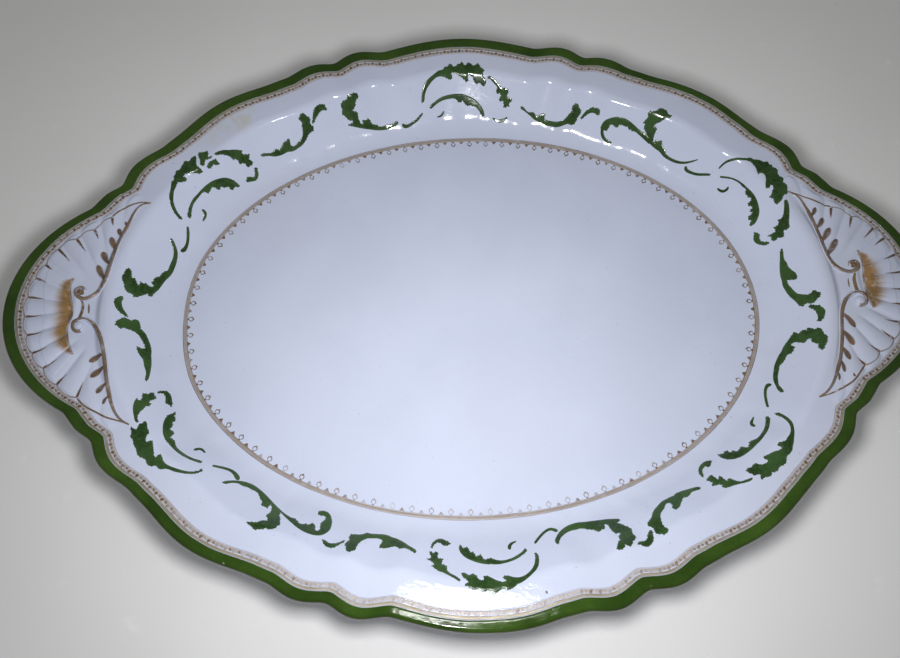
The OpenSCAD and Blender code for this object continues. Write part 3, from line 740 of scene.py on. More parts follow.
# ---------------------------------------------------------------------------
# Leaf border: outlines of the printed leaves, in millimetres
# ---------------------------------------------------------------------------
LEAVES = {
    "top": [
        [(-20.1, 112.5), (-20, 115), (-19.2, 117.7), (-17.5, 120.3), (-15.2, 122.1), (-12.6, 123.8), (-10.8, 125), (-8.6, 125.6), (-7.6, 126.9),
         (-6, 127.3), (-5.2, 128.6), (-4, 128.2), (-3.6, 127.2), (-1.8, 127.3), (-1, 128.3), (0.3, 128.6), (1.2, 129.6), (2, 128.6), (2.6, 127.6),
         (3.4, 127.9), (4.3, 129), (5.8, 128.6), (6.9, 127.4), (8.2, 127.6), (9.3, 128.4), (10.3, 127.6), (10.6, 126.3), (11.6, 125.8),
         (12.5, 124.7), (11.9, 123.4), (12, 122.4), (12.4, 121.7), (13.5, 120.4), (13.1, 119.1), (11.9, 118.7), (10.9, 119.6), (10, 120.1),
         (9.3, 119.8), (8.4, 119.8), (7.3, 121), (6.7, 122.2), (5.4, 123), (4.4, 123.3), (4.1, 122.1), (4.3, 121.2), (3.3, 120.7), (2.5, 121.4),
         (1.3, 122.2), (0, 122.9), (-1.4, 123.5), (-2.8, 124), (-4.4, 124.2), (-4.4, 123.4), (-4, 122.4), (-5, 121.7), (-6.2, 121.9), (-7.6, 122.4),
         (-9.4, 122.7), (-11.6, 122.4), (-13.8, 121.2), (-15.6, 119.7), (-17.2, 117.9), (-18.4, 115.5), (-18.9, 113.2)],
        [(14.3, 121.8), (15.2, 122), (17.1, 121.1), (18.7, 119.9), (20.3, 118.3), (21.7, 117), (23.5, 116.7), (24.7, 116), (25, 115), (24.3, 114.4),
         (24.5, 113.4), (25.5, 113), (27, 112.3), (26.1, 111.4), (25.4, 111), (25.4, 109.8), (24.5, 110.1), (23.7, 109.7), (22.7, 110),
         (22.8, 111.2), (22.3, 112.2), (20.7, 112.4), (20.5, 113.4), (21.3, 114.2), (20.7, 115.2), (19.1, 115.3), (18.9, 116.3), (19.5, 117.3),
         (18.7, 118.2), (17.1, 119.7), (15.5, 121), (14.4, 121.4)],
        [(-16.2, 111), (-15.6, 111.7), (-13.2, 113.2), (-10.8, 114.6), (-8, 115.5), (-4.9, 116.1), (-1.9, 116.3), (1.1, 116.2), (3.7, 115.6),
         (6.1, 114.7), (8.5, 113.4), (10.3, 111.8), (11.7, 110.2), (12.5, 108.3), (12.4, 107.2), (11.5, 107.5), (10.5, 108.9), (9.3, 110.2),
         (8.1, 111.2), (6.3, 111.6), (5.1, 112), (4.1, 111.8), (2.9, 112.4), (1.9, 113.3), (1.3, 113.9), (0.3, 113.2), (-1.1, 113.5), (-1.9, 114.3),
         (-3.1, 114.7), (-5.3, 114.6), (-8.4, 114.1), (-11, 113.2), (-13.6, 111.7), (-15.4, 110.6)],
        [(31.4, 109.1), (32.6, 109), (34.6, 107.5), (36.4, 106.9), (38.2, 106.9), (39.6, 105.7), (41.6, 105.7), (43.2, 106), (44.4, 105.3),
         (43.8, 104.1), (44.8, 103.3), (46.8, 102.6), (49.2, 101.9), (51.6, 101.7), (53.6, 101.9), (55.4, 103), (56.8, 104.1), (58.1, 104.9),
         (57.8, 105.9), (58.4, 106.8), (59.9, 107.2), (61.1, 106.4), (61.5, 105.4), (62.4, 104.4), (61.9, 103.1), (60.9, 102.3), (60.3, 101.1),
         (59.4, 100.1), (57.8, 99.9), (56.2, 100.5), (54.2, 100.3), (51.8, 99.9), (49.6, 99.9), (47.6, 100.5), (45.4, 101.1), (43.2, 102.1),
         (40.8, 103.3), (38.6, 104.4), (37.4, 105.3), (35.8, 106.3), (33.6, 107.5), (31.6, 108.6)],
        [(62.3, 101.7), (63.5, 102.7), (65.1, 103.9), (66.7, 104.2), (67.9, 104.6), (69.1, 103.9), (70.5, 103.5), (71.5, 102.3), (71.6, 101.5),
         (70.6, 100.9), (69.5, 101.9), (67.9, 102.6), (65.9, 102.5), (64.3, 101.9), (62.9, 101.3)],
        [(72.6, 95.7), (73.1, 97.3), (74.5, 98.3), (76.7, 98.6), (79.1, 98.5), (81.5, 98), (83.9, 97.1), (86.3, 95.7), (88.7, 93.9), (91, 92),
         (93.2, 90.4), (95, 89.1), (97, 86.9), (96.4, 85.6), (94.6, 87.1), (92.6, 88.9), (90.5, 90.7), (89.1, 91.7), (87.9, 92.1), (87.1, 92.7),
         (85.9, 93.3), (85.7, 94.1), (84.7, 94.3), (82.7, 95.1), (81.3, 95.4), (80.4, 94.6), (79.5, 95.1), (78.5, 95.9), (77.1, 96.3), (76.2, 95.1),
         (75.3, 94.7), (74.3, 94.9)],
        [(99, 84.3), (99.5, 86.4), (100.6, 85.4), (102.1, 85.3), (102.5, 83.7), (103.4, 82.1), (104.3, 80.2), (103, 79.8), (102, 81.3),
         (100.6, 82.9)],
        [(95.2, 88.3), (95, 89.6), (94.3, 90.7), (93.4, 92.1), (93.9, 93.1), (93, 94), (93.9, 94.7), (94.9, 95.5), (94.8, 96.8), (95.5, 97.6),
         (96.7, 97.2), (98.1, 97.3), (99.2, 97.5), (100.2, 98.2), (101.4, 98.3), (102.6, 97.6), (103.6, 97), (104, 95.8), (104.6, 94.8), (106.1, 94),
         (105, 93.3), (103.3, 93.5), (102.1, 93.1), (100.7, 92.6), (99.4, 92.5), (98.2, 92.3), (98.7, 91.3), (99.4, 90.5), (98.8, 89.1),
         (98.3, 87.7), (98, 86.1), (97, 85.7), (96, 86.9)],
    ],
    "upper_right": [
        [(139.6, 67.7), (141.6, 67.9), (142.8, 67), (144.4, 66.7), (145.8, 66.2), (147.4, 65.2), (149.2, 65.2), (149.8, 63.6), (150.8, 63.1),
         (151.3, 62), (152.4, 61.4), (153.2, 60.3), (153, 58.8), (153.4, 57.2), (154.6, 56.2), (155.1, 55), (154.6, 53.6), (155.8, 52.6),
         (156.3, 51.2), (156, 49.6), (156.1, 48), (155.4, 47.2), (154.4, 47), (153.4, 45.9), (153, 44.9), (152.2, 44), (151, 43.2), (150.2, 44),
         (149.8, 45.6), (149, 46.7), (148.3, 47.4), (148.9, 48.2), (149.4, 49.7), (149.9, 51), (149.6, 52.4), (148.8, 52.8), (148, 51.5),
         (147, 51.6), (146.7, 53.1), (146.9, 55), (147, 57.4), (146.4, 58.8), (145.2, 59.6), (144, 59.1), (143.6, 60.2), (143.4, 61.8),
         (142.9, 63.2), (142.2, 64.4), (141.2, 65.8), (139.8, 66.7)],
        [(154.6, 44.4), (155.2, 43.4), (155.5, 40), (155.3, 36.6), (155.1, 33.4), (155.1, 30.9), (154.2, 30.4), (153.5, 31), (153.2, 29.2),
         (153, 27.5), (152, 27.7), (151.2, 27.9), (150.2, 27.1), (149, 27.9), (149, 29.3), (147.9, 30.1), (149, 30.7), (150.2, 30.9), (150.4, 32),
         (149.8, 33.2), (150.8, 33.5), (151.5, 34), (151.6, 35), (151.5, 35.9), (152.6, 36.2), (153.2, 37.3), (153.5, 39.3), (153.7, 41.5),
         (153.9, 43.6)],
        [(148.1, 26.7), (147, 26.4), (145.1, 27.3), (143.7, 28.5), (142.7, 30.3), (142.7, 32.3), (143, 33.9), (143.9, 33.2), (144.8, 32.2),
         (144.6, 30.7), (145.1, 29.1), (146.4, 28), (147.6, 27.6)],
        [(128.7, 63.5), (130.7, 62.9), (133.2, 61.6), (135.6, 59.7), (137.8, 57.2), (139.7, 54.6), (141.6, 52), (143.2, 48.8), (144.2, 45.4),
         (144.6, 42.2), (143.9, 39.4), (142.7, 37.7), (141.4, 37.5), (141.2, 38.7), (141.8, 39.7), (140.8, 40.4), (140.6, 41.8), (141.7, 42.4),
         (142.1, 43.2), (141.2, 43.9), (141.4, 44.6), (142.2, 45.2), (141.4, 46.2), (140.5, 46.8), (140.5, 47.8), (141.5, 48.6), (141.3, 49.8),
         (140.4, 50.4), (139.7, 51.6), (139.1, 52.8), (139.3, 54), (138.1, 55.6), (136.4, 58.1), (134, 60.5), (131.5, 61.9), (129.3, 62.8)],
        [(152.2, 22.5), (152.6, 21.1), (152.6, 18.9), (152.8, 16.9), (153.5, 14.9), (153.8, 13.1), (154.8, 10.9), (155.8, 9.1), (156.2, 7.3),
         (155.8, 5.9), (154.4, 6.2), (152.9, 6.7), (152.8, 5.5), (153.2, 3.7), (153.8, 2.1), (154.4, 0.5), (155.3, -1.3), (156.7, -2.3),
         (158.1, -3.1), (159.5, -2.9), (160.1, -2.1), (161, -2), (161.4, -3), (162.2, -3.6), (162.3, -4.6), (161.7, -5.7), (160.6, -6.6),
         (159.9, -7.5), (158.7, -7.9), (157.7, -7.2), (156.7, -7.5), (155.9, -8.2), (155.1, -7.5), (154.5, -5.7), (153.7, -3.7), (152.8, -1.7),
         (152.1, 0.5), (151.6, 2.5), (151.2, 4.5), (151.2, 6.9), (151, 9.5), (151, 12.5), (151.2, 15.5), (151.5, 18.5), (151.7, 21.1)],
        [(157.7, -8.9), (158.7, -8.5), (159.9, -9.4), (160.9, -9.8), (161.6, -11.1), (162.1, -12.6), (162, -14), (161.5, -15.4), (161, -16.6),
         (160.3, -17.3), (159.5, -17.6), (159, -17.1), (159.5, -15.8), (159.6, -14), (159.4, -12.4), (158.9, -10.9), (158.1, -9.9)],
        [(138.9, -48.9), (138.3, -47.7), (138.2, -45), (138.3, -42.2), (138.9, -39.6), (139.9, -36.8), (140.9, -34.2), (142.1, -32), (143.3, -30),
         (144.7, -28.2), (145.9, -26.2), (147.1, -24.6), (148.3, -23.2), (149.5, -21.6), (150.5, -20.3), (151, -19.8), (151.5, -20.8),
         (152.3, -21.1), (152.9, -20.4), (153.9, -19.9), (154.7, -20.5), (155.5, -19.5), (156.5, -20), (157.3, -21), (158.3, -20.6), (159.1, -21.3),
         (159.3, -22.8), (159.6, -24.5), (160.3, -25.5), (160, -27.1), (159.5, -28.5), (158.6, -29.7), (158, -30.9), (157.1, -31.7), (156.4, -30.7),
         (156.4, -29.5), (156.7, -28.5), (155.7, -27.6), (155.1, -26.4), (155.3, -25), (154.1, -24.9), (153.1, -26), (152.1, -26.1), (151.1, -25.4),
         (149.9, -25), (148.9, -25.2), (148.5, -26.2), (149.3, -27.2), (148.7, -28.4), (148.1, -29.4), (147.3, -30.2), (146.1, -30.4),
         (145.5, -31.2), (144.5, -32.8), (143.3, -34.2), (142.3, -35), (141.7, -36.6), (140.9, -38.4), (140.1, -40.4), (139.6, -42.6),
         (139.2, -44.8), (139.6, -47), (139.5, -48.6)],
    ],
    "lower_right": [
        [(133.3, -58.9), (134.3, -58.5), (135.5, -59.7), (136.6, -61.7), (137.1, -64), (136.8, -66.5), (136.2, -69), (135.4, -71.4), (134.8, -73.2),
         (134, -75), (133.4, -76.6), (132.2, -78), (130.8, -79), (130.1, -80.2), (129.9, -81.4), (128.8, -82.6), (127.4, -83.2), (126.2, -83.8),
         (125.6, -85), (124.2, -85.6), (122.8, -85.8), (122.6, -86.6), (121.6, -87.4), (119.8, -87.6), (118.2, -88.4), (117.8, -87.6),
         (118.4, -86.6), (117.2, -86.2), (115.7, -86.6), (114.8, -85.9), (113.8, -85.1), (113.5, -84.4), (114.5, -83.2), (115.8, -82.9),
         (116.8, -81.9), (117.9, -81.5), (119.1, -82.2), (120.7, -82), (121.8, -81.6), (122.6, -80.6), (121.7, -79.8), (121.2, -79.1),
         (122.2, -78.5), (123.9, -77.8), (125.7, -77), (127.4, -76.6), (129, -76), (129.6, -75), (128.8, -74.8), (128.1, -74.2), (128.9, -73.2),
         (130.3, -72.8), (131.8, -72.4), (132.8, -71.2), (134.3, -69.6), (135.5, -67.3), (136, -64.8), (135.6, -62.5), (134.7, -60.7),
         (133.6, -59.5)],
        [(114.7, -87.5), (113.3, -87.9), (111.6, -88.4), (109.8, -88.8), (108.2, -88.2), (107.1, -87.2), (106.3, -86.9), (105.7, -87.8),
         (104.7, -87.2), (104.3, -86), (103.7, -85.4), (103.1, -86.2), (102.7, -87), (101.8, -86), (101.4, -85), (100.6, -84.5), (100, -85.2),
         (99.2, -85.8), (98.4, -86.7), (99.2, -87.2), (100, -88), (99.7, -89), (99.3, -89.6), (100.7, -89.4), (102.1, -89.2), (103.1, -89.6),
         (102.7, -90.6), (103.6, -90.9), (105.4, -90.6), (107.1, -90.1), (108.9, -89.8), (110.8, -89.5), (112.7, -89), (114.3, -88.2)],
        [(103.6, -77.6), (102, -77.6), (100.4, -78.2), (98.8, -79.4), (97.6, -81), (97, -82.8), (97.2, -84.6), (97.8, -85), (98.2, -83.8),
         (98.4, -82.2), (99.2, -81), (100.4, -80.1), (101.6, -80.5), (102.4, -79.8), (103, -78.8)],
        [(130.6, -59.5), (130.9, -60.5), (130.3, -62.3), (129.2, -64.5), (127.6, -66.7), (125.5, -68.9), (123.5, -70.9), (121.3, -72.7),
         (119.1, -74.5), (116.7, -76.1), (114.3, -77.4), (111.7, -78.1), (109.6, -78), (108.2, -77.2), (107.2, -76), (106.9, -75.1), (108, -75.1),
         (109, -74.9), (109.8, -74.1), (110.8, -73.8), (111.2, -74.9), (112, -74.7), (112.8, -74), (113.5, -74.7), (114.9, -74.1), (115.5, -73.3),
         (116.3, -72.7), (117.3, -73.3), (118.5, -73.3), (119.1, -72.3), (119.7, -71.1), (120.9, -70.4), (122.5, -69.9), (123.9, -68.9),
         (125.3, -67.5), (126.9, -65.7), (128.3, -63.5), (129.3, -61.3), (129.9, -59.7)],
        [(95, -90), (94.2, -90.6), (92.6, -91), (90.8, -91.6), (89.6, -92.8), (88.2, -93.6), (86.8, -93.8), (85.8, -95), (84.8, -96.2),
         (83.8, -97.6), (82.4, -98.6), (81.4, -98.7), (81, -98), (81.4, -96.8), (81, -95.8), (80.1, -95.6), (78.9, -96.4), (77.9, -97.8),
         (76.7, -99), (75.5, -100.3), (74.9, -101.7), (74.7, -103.3), (74.6, -104.9), (75, -106.2), (75.7, -106.6), (76, -107.6), (75, -108.6),
         (73.8, -109.2), (72.9, -108.8), (71.7, -108.8), (71, -108.2), (71, -106.9), (70.5, -105.9), (69.4, -105.1), (69.2, -104.5), (69.9, -103.5),
         (70.9, -102.5), (71.9, -101.3), (72.7, -99.9), (73.7, -98.6), (75.3, -97.2), (76.7, -96), (78.3, -94.8), (80.1, -94), (81.9, -93.2),
         (83.6, -92.6), (84.8, -91.7), (86.2, -91.2), (88, -90.6), (90, -90.2), (92.2, -89.7), (94.2, -89.5)],
        [(69.6, -106.9), (70, -107.5), (69.7, -109.2), (69.5, -110.8), (68.6, -112.2), (67.4, -113.2), (66.2, -113.7), (65, -113.4), (63.9, -112.8),
         (62.7, -112.4), (63.6, -111.6), (64.8, -111.5), (66.1, -111.3), (67.2, -110.4), (67.9, -108.9), (68.7, -107.7)],
        [(30.7, -110.5), (30.5, -109.3), (31.5, -107.5), (33.1, -105.7), (34.9, -104.3), (36.9, -103.2), (39.1, -102.4), (41.5, -101.9),
         (44.3, -101.8), (47.4, -101.6), (50.4, -101.4), (53.4, -101.2), (56.4, -101.2), (58.8, -101.4), (59.2, -101.9), (58.2, -102.5),
         (57.4, -102.9), (59, -103.5), (60.1, -104.3), (61.5, -105.1), (62.4, -106.1), (62.3, -107.5), (62.5, -108.5), (63, -109.3), (62.4, -110.3),
         (61.3, -111.1), (60.5, -112.4), (59.5, -113.2), (58.5, -112.8), (57.7, -112.2), (57.3, -113), (56.6, -113.9), (54.7, -114.4), (54, -114),
         (54.6, -112.6), (55.5, -111.1), (56.4, -110.3), (56.2, -109.5), (56.7, -108.5), (57.7, -107.5), (56.7, -107.3), (55.4, -107.5),
         (54.6, -106.5), (54, -105.1), (53.6, -103.7), (52.4, -103.3), (52, -104.3), (51.8, -105.3), (50.6, -105.4), (50, -106), (49, -106.4),
         (48, -105.7), (46.6, -105.3), (45.2, -105.1), (43.8, -104.7), (42.1, -104.5), (40.3, -104.9), (38.3, -105.2), (36.5, -105.8),
         (34.9, -106.7), (33.3, -107.9), (32.1, -109.5), (31.5, -110.7)],
    ],
    "bottom": [
        [(21.4, -114.1), (22, -114.5), (22.2, -116.5), (21.8, -118.4), (20.8, -120.2), (19.1, -121.8), (17.3, -123.2), (15.6, -124.4),
         (13.8, -125.4), (11.8, -126.2), (10.6, -127.2), (9, -127.8), (7.8, -128), (6.6, -127.4), (5.4, -127.6), (4.4, -128.4), (2.8, -129),
         (1.4, -128.7), (0.6, -127.9), (-0.6, -128), (-1.8, -128.4), (-3, -127.7), (-4.2, -127.2), (-5.4, -127.6), (-6.4, -126.9), (-7.6, -126.2),
         (-9, -125.6), (-8.4, -125), (-7.4, -124.6), (-8, -123.6), (-9.2, -122.6), (-10, -121.6), (-9.8, -120.8), (-8.5, -121), (-7.2, -121.8),
         (-5.3, -121.4), (-4.1, -122.2), (-3.4, -123.4), (-2.2, -124), (-1, -123.8), (-1.2, -123), (-0.7, -122.4), (0.7, -122.6), (2.2, -123.4),
         (3.8, -124.2), (5.4, -124.8), (7.2, -124.9), (8, -124.2), (6.8, -123.6), (6.9, -123), (8.5, -122.6), (10.3, -123.2), (12.5, -123.5),
         (14.5, -123.2), (16.3, -122.4), (18.2, -121), (19.6, -119.4), (20.6, -117.3), (21, -115.3), (21, -114.1)],
        [(-10.6, -123.7), (-11.4, -122.8), (-13.2, -121.6), (-15, -120.6), (-16, -119.4), (-15.9, -118.2), (-16.9, -117.4), (-17.8, -117.1),
         (-18, -116.1), (-17.4, -115.1), (-18.4, -114.8), (-19.4, -114.7), (-19.6, -113.5), (-19.4, -112.2), (-20.4, -112), (-21.2, -112.5),
         (-22, -111.9), (-22.9, -111.8), (-22.6, -112.9), (-22.2, -113.9), (-23, -114.6), (-23.9, -114.8), (-22.6, -115.5), (-21.4, -116.3),
         (-21, -117.1), (-22, -117.6), (-20.8, -118.6), (-19.4, -119.6), (-17.8, -120.2), (-16.2, -121), (-14.4, -122), (-12.6, -123),
         (-11.2, -123.9)],
        [(-22.2, -110.1), (-21.8, -108.5), (-20.6, -107.2), (-19, -106.5), (-17.4, -106.6), (-16, -107.2), (-14.8, -107.8), (-14, -108.5),
         (-14.9, -109.2), (-16.2, -109.3), (-17.4, -108.9), (-18.2, -108.1), (-19.4, -107.9), (-20.6, -108.5), (-21.4, -109.5), (-21.8, -110.3)],
        [(18, -112.5), (17.6, -113.3), (16, -114.5), (13.8, -115.8), (11.2, -116.8), (8.4, -117.5), (5.6, -117.9), (2.7, -117.9), (-0.1, -117.6),
         (-2.7, -117), (-5.1, -116.1), (-7.3, -115), (-9.1, -113.5), (-10.1, -111.9), (-10.3, -110.3), (-9.8, -109.3), (-9.1, -110.1),
         (-8.5, -110.9), (-7.7, -110.4), (-6.6, -110.7), (-6.1, -111.9), (-5.5, -112.8), (-4.7, -112.4), (-4.1, -113.3), (-3.5, -114.3),
         (-2.3, -114.1), (-1.6, -113.7), (-0.9, -114.7), (-0.5, -115.7), (0.5, -115.8), (1.7, -115.5), (2.7, -115.4), (4.1, -116), (6.2, -116.5),
         (8.8, -116.4), (11.4, -115.7), (13.8, -114.6), (16, -113.3), (17.4, -112.1)],
        [(-28.6, -112), (-28.5, -111.3), (-29.7, -110.1), (-31.5, -109), (-33.3, -107.7), (-35.1, -106.6), (-36.9, -105.7), (-38.7, -105.1),
         (-40.3, -104.3), (-42.5, -103.7), (-45.1, -103.5), (-47.8, -103.3), (-49.4, -102.9), (-50.8, -103.4), (-52.8, -103.6), (-54.6, -103.4),
         (-56, -103.5), (-56.5, -104.5), (-56.2, -105.7), (-57.2, -106.7), (-57.9, -107.9), (-57.2, -108.7), (-57.2, -109.7), (-56.4, -110.5),
         (-55.5, -110.8), (-54.6, -110.3), (-53.4, -110), (-53.2, -108.9), (-52.6, -107.7), (-51.8, -106.7), (-50.6, -105.9), (-49.2, -105.3),
         (-47.2, -105.2), (-45.2, -105.3), (-43.7, -105.6), (-42.7, -106.2), (-42.9, -107.3), (-43.5, -108.3), (-43.9, -109.1), (-42.7, -109.5),
         (-41.3, -109.6), (-39.7, -109.3), (-38.1, -109), (-36.7, -109.1), (-35.7, -109.8), (-34.7, -110), (-33.3, -109.8), (-31.9, -110.3),
         (-30.5, -111.1), (-29.3, -111.9)],
        [(-58.2, -105.9), (-59.4, -106.3), (-60.9, -106.9), (-62.7, -107.1), (-64.5, -106.8), (-65.9, -105.9), (-67.1, -105.3), (-66.9, -106.3),
         (-66.1, -107.5), (-64.8, -108.4), (-63.4, -108.9), (-62, -108.7), (-60.9, -108.1), (-59.7, -107.3), (-58.4, -106.6)],
        [(-110.7, -79.9), (-109.5, -79.3), (-107.1, -78.9), (-104.9, -78.9), (-102.4, -79.3), (-100.4, -80), (-98.4, -81), (-96.6, -82.3),
         (-95, -83.6), (-93.2, -85.2), (-91.4, -87), (-89.8, -88.6), (-88.2, -90.2), (-86.6, -91.6), (-84.8, -93.2), (-82.8, -94.6), (-80.8, -95.8),
         (-79.4, -96.2), (-78.3, -97.2), (-77.3, -98.3), (-75.9, -98.7), (-74.7, -98.5), (-73.7, -99), (-72.5, -98.4), (-71.5, -98.6),
         (-70.9, -99.6), (-70.7, -100.9), (-69.9, -101.6), (-68.9, -101.3), (-68.7, -100), (-68.9, -98.6), (-68.1, -97.4), (-67.3, -96.4),
         (-67.3, -95.4), (-68.3, -94.8), (-69.7, -94.6), (-70.7, -93.7), (-70.5, -93), (-69.1, -92.6), (-67.4, -93), (-66, -94), (-65.1, -95.6),
         (-64.6, -97.4), (-64.5, -99.2), (-64.9, -101.1), (-66.1, -102.5), (-67.9, -103.4), (-69.9, -103.5), (-72.1, -103), (-74.3, -102.1),
         (-76.3, -101), (-78.2, -99.7), (-80, -98.2), (-81.8, -96.7), (-83.6, -95.1), (-85, -93.8), (-86.4, -92.6), (-89, -91.4), (-90.4, -89.7),
         (-91, -90.7), (-91.4, -91.5), (-92, -90.7), (-93, -90.4), (-93.8, -89.8), (-93.8, -88.6), (-94.6, -87.4), (-95.4, -86), (-96.2, -84.6),
         (-97.4, -83.6), (-99, -82.8), (-100.8, -81.8), (-102.7, -81.2), (-104.9, -80.1), (-107.1, -79.9), (-109.5, -80.5)],
        [(-86.4, -92.2), (-85.8, -93.4), (-85.8, -94.8), (-85.2, -96.2), (-85, -97.6), (-84.7, -98.9), (-85.7, -99.3), (-86, -100.3),
         (-87.1, -100.6), (-88.5, -100.8), (-89.7, -100.2), (-90.8, -100.6), (-92.4, -100.6), (-94, -100.7), (-94.8, -100), (-95.6, -99.2),
         (-96.6, -98.6), (-97.5, -97.7), (-96.3, -97.5), (-94.9, -97.7), (-93.5, -97.7), (-92.5, -97.1), (-91.3, -96.9), (-90.1, -97.1),
         (-89.8, -96), (-90.6, -95.2), (-90.8, -94.6), (-89.8, -93.6), (-89.4, -92.4), (-89.4, -91), (-88.4, -90.4)],
    ],
    "lower_left": [
        [(-118.9, -74.9), (-119.7, -75.9), (-121.3, -76.6), (-123.5, -76.8), (-126, -76.4), (-128.6, -75.8), (-130.6, -75), (-132.4, -74.5),
         (-134.4, -74.7), (-135.4, -74.1), (-136.6, -73.1), (-138.2, -73.3), (-139.8, -72.6), (-140.6, -71.4), (-140.9, -70.6), (-141.8, -69.9),
         (-143.2, -69.3), (-144.4, -68.4), (-145, -67), (-145.4, -65.6), (-146.4, -64.2), (-147, -62.6), (-147.4, -61.4), (-148.4, -60.4),
         (-148.2, -59), (-148.4, -57.6), (-148.9, -56.2), (-147.6, -56.9), (-146.4, -57.4), (-146, -56.4), (-145.7, -54.9), (-144.8, -54.3),
         (-144.1, -53.1), (-143.4, -54.1), (-142.9, -55.8), (-142.1, -57.4), (-141.6, -58.4), (-142.1, -59.9), (-142.2, -61.6), (-141.8, -62.8),
         (-140.9, -62.6), (-140.1, -62), (-139.4, -63.1), (-138.9, -64.8), (-138.4, -66.4), (-138, -68), (-137.6, -69.2), (-136.8, -69.6),
         (-136.2, -68.8), (-135.5, -68.2), (-134.6, -69.4), (-133.9, -70.9), (-133, -72.1), (-131.6, -73.1), (-129.6, -74), (-127.4, -74.8),
         (-125.1, -75.5), (-122.9, -75.8), (-121.1, -75.5), (-119.9, -74.9), (-119.5, -74.1)],
        [(-146.8, -54.2), (-147.7, -52.8), (-148.5, -50.7), (-149.2, -48.3), (-149.6, -45.8), (-149.6, -43.9), (-149.3, -42.5), (-148.6, -43.4),
         (-147.8, -43), (-147.7, -41.4), (-147.8, -39.8), (-147, -39.6), (-146.2, -39.8), (-145.6, -39), (-145, -38.5), (-144.2, -39.2),
         (-143.8, -40.2), (-143.2, -41), (-143.8, -42), (-144.8, -42.6), (-145, -43.6), (-144.2, -44.5), (-144.6, -45.4), (-145.6, -45.8),
         (-146, -47), (-146.5, -48.1), (-147, -49.4), (-147.1, -50.9), (-146.9, -52.5), (-146.3, -53.7)],
        [(-143.4, -38.5), (-143, -37.5), (-142, -37), (-140.5, -36.9), (-139.3, -37.8), (-138.3, -39.6), (-137.7, -41.6), (-137.2, -43.2),
         (-137.4, -44.4), (-138.4, -43.5), (-139.4, -43), (-139.8, -42), (-140, -40.6), (-140.5, -39.2), (-141.4, -38.2), (-142.4, -38.3)],
        [(-135.5, -46.9), (-135.1, -47.8), (-135.4, -48.8), (-134.8, -50), (-134.5, -51.2), (-135.2, -52.4), (-134.8, -53.6), (-135, -54.8),
         (-135.2, -56), (-134.2, -56.6), (-133.5, -57.6), (-134, -58.9), (-134.2, -60), (-133, -60.7), (-132.2, -61.9), (-131.6, -63.3),
         (-130.6, -64.7), (-129, -66.1), (-127.2, -67.4), (-125.2, -68.6), (-123.2, -69.5), (-121.1, -70.1), (-120.1, -70.6), (-120.4, -71.3),
         (-122, -70.9), (-124, -70.2), (-126, -69.2), (-128, -68.1), (-129.8, -66.8), (-131.6, -65.3), (-133, -63.9), (-134.2, -62.6),
         (-135.4, -61.3), (-136.2, -59.9), (-137, -58.1), (-137.6, -55.8), (-138, -53.4), (-138, -51.2), (-137.6, -49.4), (-137, -48.5),
         (-136.4, -48.1)],
        [(-160.7, 6.1), (-162.1, 4.9), (-163, 3.6), (-163, 2.2), (-162.5, 0.5), (-161.6, -1), (-160.5, -2.1), (-159.2, -3), (-158.2, -3.3),
         (-158.8, -1.9), (-159.8, -0.3), (-160.5, 1.5), (-160.7, 3.5), (-160.4, 5.1)],
        [(-155, -3.7), (-156.2, -4.1), (-157, -4.7), (-158.2, -4.1), (-159.8, -4.2), (-160.4, -5.1), (-161.3, -6), (-161.6, -7.3), (-161.6, -8.4),
         (-160.7, -8.8), (-160, -9.7), (-159, -8.9), (-157.6, -9.1), (-156.2, -9.4), (-154.8, -10.1), (-153.6, -11.3), (-152.6, -12.9),
         (-151.8, -14.3), (-151.2, -15.7), (-151, -17.1), (-152, -17.5), (-153, -17.1), (-153.7, -16.9), (-153.4, -18.3), (-152.8, -19.7),
         (-151.8, -21.3), (-150.8, -22.7), (-150.4, -24.1), (-149.8, -26.2), (-149, -28.2), (-148.6, -30.2), (-148.5, -32.2), (-148, -33.4),
         (-147.6, -32), (-147.5, -29.6), (-147.6, -27.2), (-147.8, -24.6), (-148.2, -22.2), (-148.6, -19.9), (-148.8, -17.7), (-149.3, -15.5),
         (-150, -13.5), (-150.7, -11.9), (-151.4, -10.3), (-152.3, -8.9), (-153.5, -7.7), (-153.8, -6.3), (-154.2, -4.9)],
        [(-143.8, 38.8), (-142.8, 37.6), (-142.2, 35.8), (-141.7, 33.6), (-141.7, 31.4), (-142, 29.2), (-142.5, 27), (-143.1, 24.8), (-143.9, 22.6),
         (-144.9, 20.7), (-146.1, 18.9), (-147.1, 16.9), (-147.9, 15.1), (-148.7, 13.5), (-149.7, 11.9), (-150.5, 10.5), (-151.3, 9.2),
         (-151.9, 9.1), (-152.3, 10.3), (-153.5, 9.3), (-154.7, 8.3), (-156, 7.3), (-156.8, 7), (-157.4, 8.1), (-158.6, 8.4), (-159.7, 9.3),
         (-160.1, 10.7), (-160.4, 12.5), (-161, 13.9), (-161, 15.5), (-160.4, 17), (-160, 18.6), (-158.9, 19.9), (-158.2, 18.9), (-158, 17.4),
         (-158, 15.8), (-157, 15.9), (-156.4, 14.6), (-155.8, 13.2), (-155.3, 13.2), (-154.9, 14.8), (-154.1, 14.6), (-152.9, 14.7), (-151.9, 13.9),
         (-150.9, 13.9), (-150.3, 14.7), (-151.1, 15.7), (-150.5, 16.9), (-149.9, 18.5), (-148.9, 19.3), (-148.1, 19.9), (-147.7, 20.9),
         (-146.7, 22.5), (-145.5, 23.5), (-144.9, 25.2), (-144.3, 27.2), (-143.6, 29.2), (-143.1, 31.4), (-143, 33.6), (-143.3, 35.6),
         (-143.8, 37.4)],
    ],
    "upper_left": [
